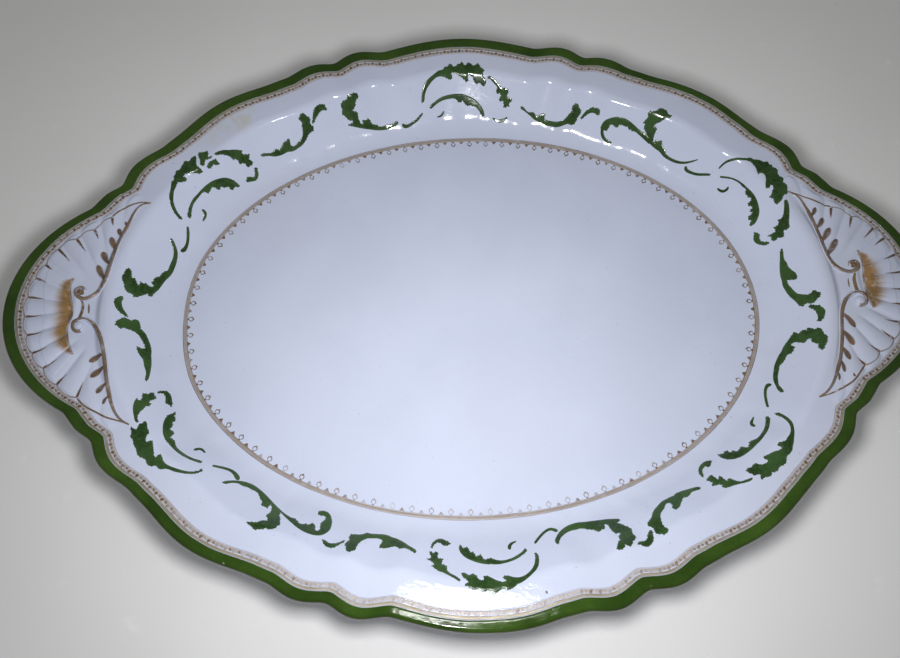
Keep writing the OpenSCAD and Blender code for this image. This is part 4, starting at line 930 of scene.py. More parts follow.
        [(-138.8, 48.8), (-139.8, 48.2), (-140.8, 49.2), (-141.8, 50.6), (-142.6, 52.6), (-143, 54.9), (-142.9, 57.3), (-142.4, 59.6),
         (-142.1, 61.7), (-141.9, 63.4), (-141, 64.7), (-140.9, 65.8), (-141.2, 66.2), (-140.4, 67.4), (-140.2, 69), (-139.2, 69.6), (-138.2, 70.2),
         (-137.8, 71.6), (-136.9, 73), (-136.4, 74.3), (-135, 74.4), (-133.9, 74.6), (-133.4, 75.8), (-132.4, 76.8), (-131.4, 77.2), (-131, 76),
         (-131, 74.4), (-130.9, 73.2), (-130.4, 72.1), (-129.3, 71.4), (-128.5, 70.5), (-129.3, 69.5), (-130.9, 69.2), (-132.4, 68.9),
         (-133.9, 68.6), (-135.3, 68.2), (-136.5, 67.4), (-136.8, 66.7), (-135.7, 66.4), (-135.5, 65.8), (-136.3, 65), (-137.7, 64.3),
         (-138.7, 63.8), (-139.2, 64.1), (-139.8, 62.7), (-140.4, 61.1), (-141.1, 59.4), (-141.5, 57.3), (-141.7, 55), (-141.3, 52.9), (-140.6, 51),
         (-139.6, 49.6)],
        [(-130, 77.6), (-129.9, 79), (-128.6, 79.2), (-127, 79.6), (-125.9, 80), (-125.5, 79), (-125.6, 77.6), (-125.6, 76.9), (-124.6, 77.3),
         (-123.6, 77.7), (-124.3, 76.7), (-125.6, 76), (-126.6, 75.5), (-127, 74.5), (-127.3, 73.2), (-128.1, 72.6), (-129, 73.3), (-129, 75),
         (-129.6, 76.4)],
        [(-126.2, 72.6), (-125.5, 74.1), (-124.5, 75.2), (-122.9, 76.3), (-122.1, 76.8), (-121.8, 76.1), (-120.9, 75.4), (-122.1, 74.6),
         (-123.5, 74.3), (-124.5, 73.1), (-125.3, 72.3)],
        [(-122.6, 78.7), (-121.6, 79.7), (-120.1, 80.6), (-118.1, 81.4), (-116.2, 81.9), (-114.3, 82.6), (-112.3, 83.1), (-110.5, 83.3),
         (-110.9, 82.3), (-110.1, 82), (-108.9, 82.3), (-107.6, 82.7), (-107.7, 81.5), (-108.1, 80.7), (-107.1, 80.5), (-106.4, 79.9),
         (-106.9, 78.9), (-107.9, 78.1), (-108.9, 77.5), (-109.7, 78.5), (-110.7, 78.5), (-111.5, 78.1), (-112.1, 77.7), (-112.7, 78.9),
         (-113.7, 79.3), (-114.7, 78.6), (-115.5, 79.3), (-116.9, 79.6), (-118.4, 79.5), (-119.9, 79.3), (-121.5, 78.6)],
        [(-110.3, 71.5), (-109.9, 72.6), (-109.2, 73.7), (-107.9, 73.9), (-106.5, 74.3), (-105.9, 75.5), (-105.9, 76.9), (-105.5, 78.1),
         (-104.9, 78.3), (-104.5, 76.9), (-104.5, 75.5), (-105.1, 74.1), (-106.3, 72.9), (-107.9, 72.3), (-109.3, 71.7)],
        [(-136, 49.8), (-136.6, 50.8), (-136.2, 52.6), (-135.6, 54.6), (-134.6, 56.9), (-133.4, 59.1), (-131.8, 61.1), (-130.2, 63.1),
         (-128.4, 64.9), (-126.4, 66.6), (-124.1, 68.2), (-121.9, 69.4), (-119.9, 70.3), (-117.9, 70.7), (-115.9, 70.5), (-114.3, 69.8),
         (-113.3, 69.1), (-114.3, 68.4), (-115.5, 68.2), (-116.1, 67.4), (-117.3, 66.6), (-118.2, 67.5), (-119.1, 67.2), (-120.3, 66.6),
         (-121.5, 66.8), (-121.9, 66), (-122.9, 65.1), (-123.9, 65.6), (-125.2, 65.5), (-126, 64.5), (-126.8, 63.3), (-127.6, 62.7), (-128.8, 62.9),
         (-130, 62.1), (-131.2, 60.5), (-132.6, 58.5), (-133.8, 56.5), (-134.6, 54.4), (-135.1, 52.4), (-135.4, 50.6)],
        [(-102.4, 83.6), (-101.3, 84.5), (-99.7, 84.9), (-97.9, 85.4), (-96.5, 86.1), (-95.5, 87.2), (-94.7, 87.6), (-93.8, 87.3), (-92.8, 88.1),
         (-91.8, 89.5), (-90.8, 90.7), (-89.6, 91.5), (-88.6, 92.5), (-88, 91.7), (-87.9, 90.3), (-87, 89.8), (-85.6, 90.3), (-84.4, 91.3),
         (-83.2, 92.3), (-82, 93.5), (-81.4, 94.7), (-81.2, 96.3), (-81.3, 97.9), (-81.2, 99.3), (-82.2, 99.7), (-82.7, 100.2), (-81.9, 101),
         (-81.7, 101.8), (-80.5, 102.3), (-79.3, 102.3), (-78.8, 101.7), (-77.8, 101.6), (-77.1, 101), (-77.4, 99.9), (-76.8, 98.9), (-75.9, 98.4),
         (-76, 97.3), (-77, 96.7), (-77.8, 96.1), (-78.6, 95.5), (-79.4, 94.3), (-80.2, 93.1), (-81.4, 91.9), (-82.8, 90.7), (-84.2, 89.8),
         (-85.8, 88.7), (-87.6, 87.9), (-89.4, 87.5), (-91.2, 86.6), (-93, 85.7), (-94.8, 85), (-96.7, 84.5), (-98.5, 84.3), (-100.3, 83.8),
         (-101.7, 83.4)],
        [(-76.4, 99.6), (-75.9, 100.7), (-75.6, 102.3), (-75.1, 103.8), (-74.5, 105.1), (-73.3, 106.2), (-71.9, 107.3), (-70.7, 107.5),
         (-69.5, 107.6), (-69.2, 106.7), (-68.4, 106.2), (-69.4, 105.7), (-70.6, 105.5), (-71.6, 104.9), (-72.6, 103.8), (-73.6, 102.5),
         (-74.6, 101.3), (-75.2, 100.3), (-76, 99.6)],
        [(-32.7, 104.7), (-33.6, 103.8), (-35.3, 103), (-37.1, 102.3), (-39.1, 101.8), (-41.5, 101.4), (-44.1, 101.1), (-46.7, 101.1),
         (-49.3, 101.1), (-52.1, 101.2), (-54.7, 101.4), (-57.1, 101.6), (-58.4, 101.7), (-57.5, 102.3), (-56.3, 102.6), (-56.1, 103.5),
         (-57.5, 103.6), (-58.9, 104.1), (-59.7, 104.8), (-60.9, 105.3), (-61.3, 106), (-60.9, 107), (-61.3, 108), (-61.5, 108.7), (-60.9, 109.5),
         (-60, 110.2), (-58.9, 110.4), (-58.1, 110.9), (-57.9, 111.6), (-56.8, 112.3), (-55.6, 112.7), (-54.4, 113.3), (-53.3, 113.3),
         (-52.5, 112.9), (-52.7, 111.9), (-53.5, 111), (-54, 110.2), (-54.3, 108.8), (-55.1, 107.7), (-56.1, 107.1), (-55.1, 106.7), (-54.1, 106.7),
         (-53.3, 106.2), (-53.3, 105.1), (-52.9, 103.9), (-52.3, 102.9), (-51.5, 102.6), (-50.7, 103.1), (-51.3, 103.7), (-50.5, 104.1),
         (-49.3, 104.2), (-48.5, 104.9), (-47.5, 104.6), (-47.1, 103.9), (-46.3, 103.3), (-45.1, 103.1), (-44.1, 103.2), (-43, 102.7),
         (-41.7, 102.7), (-40.3, 103.1), (-38.5, 103.6), (-36.7, 103.9), (-35.3, 104.3), (-33.8, 104.9)],
    ],
}
# stems and small commas: (x, y, half width)
STEMS = {
    "top": [
        [(-12.6, 107.5, 0.15), (-10.6, 107.9, 0.4), (-9.2, 109, 0.55), (-8.6, 110, 0.35)],
        [(16.9, 106.4, 0.3), (18.7, 105.5, 0.6), (21.3, 104.9, 0.75), (23.3, 105.3, 0.6), (24.7, 106.1, 0.3)],
        [(78.4, 89.5, 0.4), (76.5, 90.3, 0.6), (74.7, 91.7, 0.65), (73.6, 93.5, 0.7), (73.4, 95.5, 0.8), (74.2, 97.3, 0.8)],
        [(96, 87.3, 0.8), (98.4, 84.9, 0.8), (100.2, 83.3, 0.8), (102, 81.7, 0.75), (103.8, 79.4, 0.75), (105.4, 77.8, 0.6), (107.8, 76, 0.55), (110.6, 74.4, 0.5), (113.4, 73.4, 0.45), (116, 73, 0.4), (118.8, 72.9, 0.2)],
        [(113.5, 72, 0.55), (114, 70.8, 0.75), (115, 69.6, 0.6), (117, 68.2, 0.5), (119.8, 66.8, 0.5), (122.4, 66, 0.5), (124.7, 65.2, 0.4)],
    ],
    "upper_right": [
        [(127.9, 66.6, 0.4), (130.1, 68.1, 0.5), (132.7, 68.5, 0.5), (135.5, 68.3, 0.5), (138.2, 67.7, 0.55), (140.4, 67.2, 0.7)],
        [(128, 58.8, 0.3), (129.3, 57.4, 0.5), (130.7, 56.6, 0.6), (131.9, 57, 0.7), (132.4, 58, 0.3)],
        [(137.1, -43.8, 0.6), (136.1, -43.8, 0.95), (134.9, -44.9, 0.6), (133.6, -47.9, 0.5), (132.7, -51.3, 0.5), (132.1, -55.1, 0.45)],
    ],
    "lower_right": [
        [(126.1, -58.6, 0.2), (124.9, -60.3, 0.45), (124.1, -61.8, 0.6), (124.2, -62.9, 0.8), (124.8, -63.6, 0.5)],
        [(32.6, -105.1, 0.5), (31.6, -104.8, 0.85), (29.9, -104.2, 0.65), (27.7, -104.8, 0.55), (25.7, -106.2, 0.55), (23.6, -108.1, 0.55), (21.7, -110.1, 0.5)],
    ],
    "bottom": [
        [(14.2, -108.8, 0.25), (12.5, -109.4, 0.5), (11.3, -110.4, 0.7), (11, -111.5, 0.8), (11.3, -112.2, 0.5)],
        [(-105.1, -78.6, 0.6), (-105.9, -77.1, 0.95), (-107.1, -75.5, 0.75), (-109.5, -73.8, 0.6), (-112.5, -72.9, 0.6), (-116.1, -72.2, 0.5)],
    ],
    "lower_left": [
        [(-120.2, -66.2, 0.25), (-121.3, -65.1, 0.45), (-122.5, -64.4, 0.6), (-123.7, -64.6, 0.7), (-124.6, -65.3, 0.6)],
        [(-137, 46, 0.45), (-137, 43.6, 0.6), (-137.2, 41, 0.6), (-137.6, 38.4, 0.6), (-138.3, 36.4, 0.7), (-139.2, 34.9, 0.9), (-140.4, 34, 0.6)],
    ],
    "upper_left": [
        [(-130.8, 50.2, 0.25), (-130, 51.6, 0.45), (-129.5, 53.2, 0.6), (-129.7, 54.5, 0.75), (-130.8, 54.9, 0.5)],
        [(-19.8, 108.7, 0.4), (-21.4, 107.3, 0.5), (-23, 106, 0.55), (-24.8, 105, 0.6), (-26.6, 104, 0.65), (-28.6, 103.3, 0.75), (-30, 103.5, 0.9), (-30.6, 104.3, 0.7)],
    ],
}


def rounded(P, step):
    """Closed curve through the points of an outline, soft along its runs and pointed at its tips."""
    u, v = P - np.roll(P, 1, 0), np.roll(P, -1, 0) - P
    lu, lv = np.linalg.norm(u, axis=1), np.linalg.norm(v, axis=1)
    bend = (u * v).sum(1) / (lu * lv)
    T = u / lu[:, None] + v / lv[:, None]
    T /= np.maximum(np.linalg.norm(T, axis=1, keepdims=True), 1e-6)
    k = np.clip(0.3 + 0.7 * (bend + 0.3) / 1.1, 0.2, 1.0)
    near = (np.roll(lv, 1) + 2 * lv + np.roll(lv, -1)) / 4
    out, gap = [], []
    for i in range(len(P)):
        j = (i + 1) % len(P)
        q = np.arange(0, 0.999, min(1.0, step / lv[i]))[:, None]
        gap.append(np.full(len(q), near[i]))
        out.append((2 * q ** 3 - 3 * q ** 2 + 1) * P[i] + (q ** 3 - 2 * q ** 2 + q) * T[i] * lv[i] * k[i]
                   + (3 * q ** 2 - 2 * q ** 3) * P[j] + (q ** 3 - q ** 2) * T[j] * lv[i] * k[j])
    return np.concatenate(out), np.concatenate(gap)


def leaf(b, outline, lift=0.09, mat=0):
    """Thin raised patch of colour inside a closed outline."""
    P, gap = rounded(np.array(outline, float), 0.25)
    if (P[:, 0] * np.roll(P[:, 1], -1) - P[:, 1] * np.roll(P[:, 0], -1)).sum() < 0:
        P, gap = P[::-1], gap[::-1]
    # small teeth along the lobed parts, none along the stems
    s = np.cumsum(np.hypot(*(P - np.roll(P, 1, 0)).T))
    saw = (s / 1.15 + 0.35 * np.sin(s * 0.9)) % 1.0
    T = np.roll(P, -2, 0) - np.roll(P, 2, 0)
    T /= np.maximum(np.linalg.norm(T, axis=1, keepdims=True), 1e-9)
    tooth = 0.10 + 0.42 * np.clip((2.0 - gap) / 0.5, 0, 1) * (saw ** 1.4 - 0.35)
    P = P + tooth[:, None] * np.stack([T[:, 1], -T[:, 0]], -1)
    Q = np.roll(P, -1, 0)
    seg = Q - P
    seg2 = np.maximum((seg * seg).sum(1), 1e-12)
    rise = np.where(np.abs(seg[:, 1]) < 1e-9, 1e-9, seg[:, 1])

    def away(X):
        w = X[:, None, :] - P[None]
        h = np.clip((w * seg).sum(2) / seg2, 0, 1)
        return np.sqrt(((w - h[..., None] * seg) ** 2).sum(2)).min(1)

    def within(X):
        x, y = X[:, :1], X[:, 1:]
        cut = ((P[:, 1] > y) != (Q[:, 1] > y)) & (x < P[:, 0] + seg[:, 0] * (y - P[:, 1]) / rise)
        return cut.sum(1) % 2 == 1

    T = Q - np.roll(P, 1, 0)
    T /= np.maximum(np.linalg.norm(T, axis=1, keepdims=True), 1e-9)
    inner = P + 0.2 * np.stack([-T[:, 1], T[:, 0]], -1)
    inner = inner[within(inner)]
    inner = inner[away(inner) > 0.15]
    lo, hi = P.min(0), P.max(0)
    gx, gy = np.meshgrid(np.arange(lo[0], hi[0], 0.8), np.arange(lo[1], hi[1], 0.7))
    gx = gx + 0.4 * (np.arange(len(gx)) % 2)[:, None]
    G = np.stack([gx.ravel(), gy.ravel()], -1)
    G = G[within(G)]
    if len(G):
        G = G[away(G) > 0.5]
    pts = np.concatenate([P, inner, G])
    got = delaunay_2d_cdt([Vector(p) for p in pts.tolist()], [], [list(range(len(P)))], 1, 1e-5)
    V = np.array([v[:] for v in got[0]])
    tri = []
    for f in got[2]:
        tri += [(f[0], f[i], f[i + 1]) for i in range(1, len(f) - 1)]
    tri = np.array(tri)
    e1, e2 = V[tri[:, 1]] - V[tri[:, 0]], V[tri[:, 2]] - V[tri[:, 0]]
    turn_back = e1[:, 0] * e2[:, 1] - e1[:, 1] * e2[:, 0] < 0
    tri[turn_back] = tri[turn_back][:, ::-1]
    used = {(int(x), int(y)) for t3 in tri for x, y in zip(t3, np.roll(t3, -1))}
    rim = np.array([e for e in used if (e[1], e[0]) not in used])
    on_rim = np.zeros(len(V), bool)
    on_rim[rim.ravel()] = True
    X, Y = V[:, 0], V[:, 1]
    Z = z_xy(X, Y)
    nrm = surface_normal(X, Y)
    dist = away(V)
    up = np.where(on_rim, 0.02, np.maximum(lift * np.clip(dist / 0.2, 0, 1), 0.02))
    base = np.stack([X, Y, Z], -1)
    n = len(V)
    thin = np.where(on_rim, 1.0, 0.4 * np.clip(1 - (dist - 0.2) / 0.4, 0, 1))
    walls = np.stack([rim[:, 0], rim[:, 0] + n, rim[:, 1] + n, rim[:, 1]], -1)
    b.add(np.concatenate([base + nrm * up[:, None], base - nrm * 0.08]), [tri, tri[:, ::-1] + n, walls], mat, np.concatenate([thin, np.ones(n)]))


def make_leaves():
    for strip, outlines in LEAVES.items():
        b = Build()
        for outline in outlines:
            leaf(b, outline)
        for rows in STEMS[strip]:
            stroke(b, rows)
        b.piece("leaves_" + strip, "leaf_print_" + strip, [LEAF], attr="thin")


# ---------------------------------------------------------------------------
# Bands and lines round the platter
# ---------------------------------------------------------------------------
def ring_noise(t, seed):
    """Slow and quick wobble of a hand-held brush, round the oval."""
    rng = np.random.default_rng(seed)
    out = np.zeros_like(t)
    for k in (5, 9, 16, 27, 44, 71, 103):
        out += rng.uniform(0.5, 1.0) / math.sqrt(k) * np.sin(k * t + rng.uniform(0, TAU))
    return out


def band_in(t):
    """Width of the green band on the flange, narrower along the near side and at the far right."""
    a = np.degrees(t) % 360
    thin = 0.8 * bell((a - 270) / 26) + 0.9 * (smooth((a - 200) / 8) - smooth((a - 258) / 16)) + 1.2 * (smooth((a - 27) / 5) - smooth((a - 54) / 5))
    return BAND_W - thin + 0.16 * ring_noise(t, 3)


def make_enamel():
    N = 1440
    t = np.arange(N) / N * TAU
    e = d_edge(t)
    inner = band_in(t)
    up_d, up_z, th = [], [], []
    zt = lambda d: z_shell(t, d)
    edge_lift = [(-0.05, -0.02), (0.12, 0.10), (0.4, 0.15)]
    for off, li in edge_lift:
        d = e - inner + off
        up_d.append(d)
        up_z.append(zt(d) + li)
        th.append(np.full(N, 0.0))
    for k in np.linspace(0, 1, 8)[1:]:
        d = (e - inner + 0.4) * (1 - k) + (e - LIP_R) * k
        up_d.append(d)
        up_z.append(zt(d) + 0.16)
        th.append(np.full(N, 0.0))
    z0 = zt(e - LIP_R)
    stop = -62 + 9 * ring_noise(t, 8)
    al0 = np.linspace(0, 1, 14)[1:]
    # below the crest of the lip the thin value rises: painted shade on the side of the lip, together with enamel
    # running thin
    for k in al0:
        al = np.radians(90 + (stop - 90) * k)
        g = 0.16 * (1 - smooth((k - 0.75) / 0.25)) + 0.0
        up_d.append(e - LIP_R + (LIP_R + g) * np.cos(al))
        up_z.append(z0 - EDGE_T / 2 + (EDGE_T / 2 + g) * np.sin(al))
        th.append(np.full(N, float(smooth((k - 0.15) / 0.30))) * (0.75 + 0.25 * np.clip(ring_noise(t, 12), -1, 1)))
    # inner skin, just under the glaze
    dn_d, dn_z = [], []
    for k in al0[::-1][1:]:
        al = np.radians(90 + (stop - 90) * k)
        dn_d.append(e - LIP_R + (LIP_R - 0.07) * np.cos(al))
        dn_z.append(z0 - EDGE_T / 2 + (EDGE_T / 2 - 0.07) * np.sin(al))
    for k in np.linspace(1, 0, 8):
        d = (e - inner + 0.1) * (1 - k) + (e - LIP_R) * k
        dn_d.append(d)
        dn_z.append(zt(d) - 0.07)
    D = up_d + dn_d
    Z = up_z + dn_z
    pts = np.stack([point(t, d, z) for d, z in zip(D, Z)])
    thin = np.stack(th + [np.zeros(N)] * len(dn_d))
    b = Build()
    b.add(pts, [grid_faces(len(D), N, True, wrap_rows=True)[:, ::-1]], 0, thin)
    b.piece("edge_enamel", "green_edge_band", [ENAMEL], attr="thin")


def ring_strip(b, t, d_in, d_out, lift, mat, thin=None, from_edge=False, rows=4):
    """Thin band between two distances, closed underneath."""
    N = len(t)
    k = np.linspace(0, 1, rows)
    up = [d_in + (d_out - d_in) * x for x in k]
    lf = np.where((k == 0) | (k == 1), -0.03, lift)
    pts = []
    for d, l in zip(up, lf):
        pts.append(point(t, d, z_shell(t, d) + l))
    for d in up[-2:0:-1]:
        pts.append(point(t, d, z_shell(t, d) - 0.07))
    pts = np.stack(pts)
    th = np.zeros(pts.shape[:2])
    if thin is not None:
        th[:] = thin[None, :]
    th[0] = th[rows - 1] = 1.0
    b.add(pts, [grid_faces(len(pts), N, True, wrap_rows=True)[:, ::-1]], mat, th)


def dab(b, x, y, ang, a, c, lift, mat, n=12, pinch=0.0, thin=0.0):
    """Small domed dab of gold with half length a and half width c; pinch makes it a spade."""
    k = np.arange(n) / n * TAU
    rings = []
    for s, l in ((1.0, -0.03), (0.8, lift * 0.8), (0.4, lift)):
        u = a * s * np.cos(k)
        v = c * s * np.sin(k) * (1 - pinch * np.cos(k))
        X = x + u * math.cos(ang) - v * math.sin(ang)
        Y = y + u * math.sin(ang) + v * math.cos(ang)
        rings.append(np.stack([X, Y, z_xy(X, Y) + l], -1))
    top = np.array([[x, y, float(z_xy(np.array(x), np.array(y))) + lift]])
    bot = np.array([[x, y, float(z_xy(np.array(x), np.array(y))) - 0.08]])
    i = np.arange(n)
    j = (i + 1) % n
    th = np.concatenate([np.full(n, 0.5), np.full(2 * n, thin), [thin, thin]])
    first = b.add(np.concatenate([*rings, top, bot]), [grid_faces(3, n, True)], mat, th)
    b.f += np.stack([2 * n + i + first, 2 * n + j + first, np.full(n, 3 * n + first)], -1).tolist()
    b.f += np.stack([j + first, i + first, np.full(n, 3 * n + 1 + first)], -1).tolist()
    b.m += [mat] * (2 * n)


def even_steps(curve, count, start=0.0):
    """Angles at equal steps of length along a closed curve t -> (x, y)."""
    t = np.linspace(0, TAU, 20001)
    p = curve(t)
    s = np.concatenate([[0], np.cumsum(np.hypot(*np.diff(p, axis=0).T))])
    return np.interp((np.arange(count) + start) / count * s[-1], s, t), s[-1]


def make_lace():
    N = 1440
    t = np.arange(N) / N * TAU
    g = d_edge(t) - band_in(t)          # where the green ends
    b = Build()
    ring_strip(b, t, g - 1.75 + 0.12 * ring_noise(t, 31), g + 0.05, 0.05, 0, rows=5)
    ring_strip(b, t, g - 3.7 + 0.10 * ring_noise(t, 32), g - 1.6, 0.04, 2, rows=5)
    # fine line next to the green, and a fainter one on the inner side
    # both lines fade towards the glaze along the near side: painted glare, with random rubbing
    ring_strip(b, t, g - 0.62 + 0.05 * ring_noise(t, 5), g - 0.30 + 0.05 * ring_noise(t, 6), 0.10, 1, 0.30 + 0.35 * near_side_glare(t) + 0.25 * np.clip(ring_noise(t, 7), -1, 1))
    ring_strip(b, t, g - 3.95 + 0.06 * ring_noise(t, 15), g - 3.55 + 0.06 * ring_noise(t, 16), 0.09, 1, 0.35 + 0.35 * near_side_glare(t) + 0.3 * np.clip(ring_noise(t, 17), -1, 1))
    rng = np.random.default_rng(11)
    row = lambda q, off: point(q, d_edge(q) - band_in(q) - off, np.zeros_like(q))[:, :2]
    tt, length = even_steps(lambda q: row(q, 2.35), 2 * int(round(1180 / 4.3)))
    c, c2, o = row(tt, 2.35), row(tt + 0.002, 2.35), row(tt, 1.35)
    for k in range(len(tt)):
        ang = math.atan2(c2[k, 1] - c[k, 1], c2[k, 0] - c[k, 0])
        out = (o[k] - c[k]) / max(np.hypot(*(o[k] - c[k])), 1e-6)
        jit = rng.normal(0, 0.07, 2)
        # worn: random rubbing of the gilding, plus painted glare that fades it along the near side
        worn = float(np.clip(0.03 + 0.60 * near_side_glare(tt[k]) + rng.normal(0, 0.14), 0, 0.8))
        if k % 2:
            # small leaf of the lace, leaning, with a point on its outer side
            p = c[k] + jit
            dab(b, p[0], p[1], ang + 0.75 + rng.normal(0, 0.12), 1.00 + rng.normal(0, 0.08), 0.64, 0.10, 3, n=8, pinch=0.3, thin=worn)
            p = c[k] + out * 0.75 + jit
            dab(b, p[0], p[1], ang, 0.36, 0.26, 0.09, 1, n=6, thin=worn)
        else:
            p = c[k] - out * 0.15 + jit
            dab(b, p[0], p[1], ang - 0.6, 0.78, 0.44, 0.10, 3, n=8, thin=min(worn + 0.05, 0.7))
            p = c[k] - out * 0.85 + jit
            dab(b, p[0], p[1], ang, 0.40, 0.22, 0.09, 1, n=6, thin=min(worn + 0.2, 0.8))
    b.piece("edge_lace", "gilt_edge_lace", [LACE, BROWN, LACE_IN, SPOT], attr="thin")


def near_side_glare(t):
    """Painted glare: how far the gilding is faded towards the glaze colour along the near side, where the light falls
    brightest, 0 to 1.
    """
    return bell((np.degrees(t) % 360 - 266) / 62)


def line_off(t):
    """The hand-drawn line lies a little off the middle, and is flatter at the left end."""
    return 0.75 * np.cos(t) - 0.9 * np.sin(t) - 1.3 * bell((np.degrees(t) % 360 - 180) / 15)


def make_well_line():
    N = 1440
    t = np.arange(N) / N * TAU
    o = line_off(t)
    b = Build()
    ring_strip(b, t, o - 0.75 + 0.05 * ring_noise(t, 21), o + 0.9 + 0.05 * ring_noise(t, 22), 0.05, 0, rows=5)
    # the two gilt lines fade towards the glaze along the near side: painted glare, with random rubbing
    ring_strip(b, t, o + 0.70 + 0.06 * ring_noise(t, 23), o + 1.28 + 0.06 * ring_noise(t, 24), 0.10, 1, 0.15 + 0.35 * near_side_glare(t) + 0.25 * np.clip(ring_noise(t, 25), -1, 1))
    ring_strip(b, t, o - 0.98 + 0.05 * ring_noise(t, 26), o - 0.45 + 0.05 * ring_noise(t, 27), 0.09, 1, 0.15 + 0.35 * near_side_glare(t) + 0.3 * np.clip(ring_noise(t, 28), -1, 1))
    b.piece("well_line", "gilt_well_line", [LINE, LOOP], attr="thin")


def make_loops():
    b = Build()
    rng = np.random.default_rng(5)
    curve = lambda q: point(q, np.full_like(q, -3.0), np.zeros_like(q))[:, :2]
    tt, length = even_steps(curve, 172)
    for k, q in enumerate(tt):
        base = point(np.array([q]), line_off(np.array([q])), np.array([0.0]))[0]
        nx, ny = base[0] / A_WELL ** 2, base[1] / B_WELL ** 2
        s = math.hypot(nx, ny)
        inx, iny = -nx / s, -ny / s                      # towards the middle of the well
        ang = math.atan2(iny, inx)
        # worn: random rubbing of the loops, plus painted glare that fades them along the near side
        worn = float(np.clip(0.12 + 0.40 * near_side_glare(q) + rng.normal(0, 0.16), 0, 0.75))
        at = lambda u, v: (base[0] + inx * u - iny * v, base[1] + iny * u + inx * v)
        if k % 2:
            x, y = at(1.55, 0)
            dab(b, x, y, ang, 0.85, 0.78, 0.11, 1, n=12, pinch=0.5, thin=worn)
            for v in (-0.85, 0.85):
                x, y = at(0.95, v)
                dab(b, x, y, ang, 0.36, 0.36, 0.10, 0, n=8, thin=worn + 0.1)
        else:
            # open loop hanging from the line, with a point on the line and one at its foot
            x, y = at(1.05, 0)
            dab(b, x, y, ang, 0.58, 0.62, 0.11, 1, n=10, thin=worn)
            pts = []
            for a in np.linspace(-158, 158, 15):
                u = 2.45 + 0.95 * math.cos(math.radians(a))
                v = 0.98 * math.sin(math.radians(a))
                pts.append((*at(u, v), 0.25 + 0.06 * math.cos(math.radians(a))))
            stroke(b, pts, lift=0.10, step=0.3, thin_along=lambda u, w=worn: np.full_like(u, w))
            x, y = at(3.55, 0)
            dab(b, x, y, ang, 0.55, 0.42, 0.11, 1, n=10, pinch=0.4, thin=worn)
    b.piece("well_loops", "gilt_well_loops", [LOOP, LOOP], attr="thin")


# ---------------------------------------------------------------------------
# Scroll arms and gilding of the shells, first the right shell and then the left
# ---------------------------------------------------------------------------
# each arm from its tip on the flange to the middle of the volute, with the round eye of the volute
ARMS = [
    [dict(path=[(156.4, 48.4), (160.6, 44.9), (162.8, 40.6), (164.6, 36.3), (165.9, 31.5), (166.9, 26.2), (167.6, 20.8), (168.4, 15), (170.1, 10.9),
                (172.7, 7.5), (175.7, 5.6), (178.7, 5.5), (180.8, 7.2), (180.9, 9.4), (179.4, 10.4), (178, 9.6), (178.2, 8.2)],
          eye=(179.3, 8.3), r=1.1, gilt=[(0.0, 1.0)]),
     dict(path=[(150.1, -53.9), (153.8, -51.7), (157.2, -48), (160.4, -42.7), (163.3, -37.1), (165.3, -31.6), (166.8, -26), (167.8, -20.5), (169.2, -14.8),
                (171.4, -9.9), (174.3, -6.4), (177.5, -5.2), (180.2, -6.6), (181, -9.3), (179.6, -11.4), (177.4, -11.2), (176.8, -9.4)],
          eye=(178.6, -9.2), r=2.2, gilt=[(0.0, 0.97)])],
    [dict(path=[(-150.7, 52.2), (-154.1, 51.3), (-157.2, 48), (-159.5, 42.5), (-162.1, 36.2), (-164.3, 29.4), (-165.5, 22.8), (-166.6, 16.1), (-168, 11.1),
                (-170.4, 7.5), (-173.3, 4.9), (-176, 3.9), (-178.3, 4.6), (-179.4, 6.5), (-179, 8.7), (-177.3, 9.3), (-176.2, 8)],
          eye=(-177.8, 7), r=1.1, gilt=[(0.0, 1.0)]),
     dict(path=[(-149.6, -55.1), (-152.1, -53.8), (-155.2, -50.8), (-158, -45.5), (-160.1, -39.5), (-161.2, -34.9), (-162.4, -29.6), (-163.6, -24.1),
                (-165, -18.7), (-166.8, -13.9), (-169.7, -9.4), (-172.7, -6.6), (-175.6, -5.8), (-178.2, -7), (-179, -9.6), (-177.6, -11.7), (-175.4, -11.3),
                (-174.8, -9.5)],
          eye=(-176.8, -9.2), r=2.2, gilt=[(0.0, 0.97)])],
]
# strokes from the scalloped outline into the flutes: outer end, inner end
TICKS = [
    [((174.5, 38.3), (173.6, 32.8)), ((183, 33), (180.9, 26.9)), ((192.1, 26.6), (186.2, 21.3)), ((196.3, 21.2), (190.5, 17.3)), ((199.5, 12.6), (193.2, 10.3)),
     ((201, 3.6), (192.6, 3.4)), ((200.5, -5), (193, -4.6)), ((198, -13), (191.5, -11.6)), ((193, -20.8), (186.5, -19.3)), ((188.6, -29), (184.2, -23.8)),
     ((181, -34.5), (176.6, -30.3)), ((173.1, -40.4), (170.6, -36.2)), ((166.9, -45.7), (166.8, -43.8))],
    [((-167.2, 44), (-166.6, 40)), ((-174.7, 37.7), (-172.7, 33.3)), ((-182.2, 33.1), (-177.9, 27.1)), ((-189.9, 28.2), (-184.1, 21.9)), ((-194.4, 20.4), (-191.1, 18)),
     ((-198.2, 13.8), (-193, 11.5)), ((-200.2, 4.7), (-193, 3.7)), ((-200.2, -4.7), (-192.6, -4)), ((-198, -13.5), (-191.2, -12)), ((-194.5, -22), (-188.4, -19.1)),
     ((-188.8, -29.1), (-183.4, -25)), ((-182, -36.8), (-178.3, -31.6)), ((-172.7, -42.7), (-171.3, -35.4))],
]
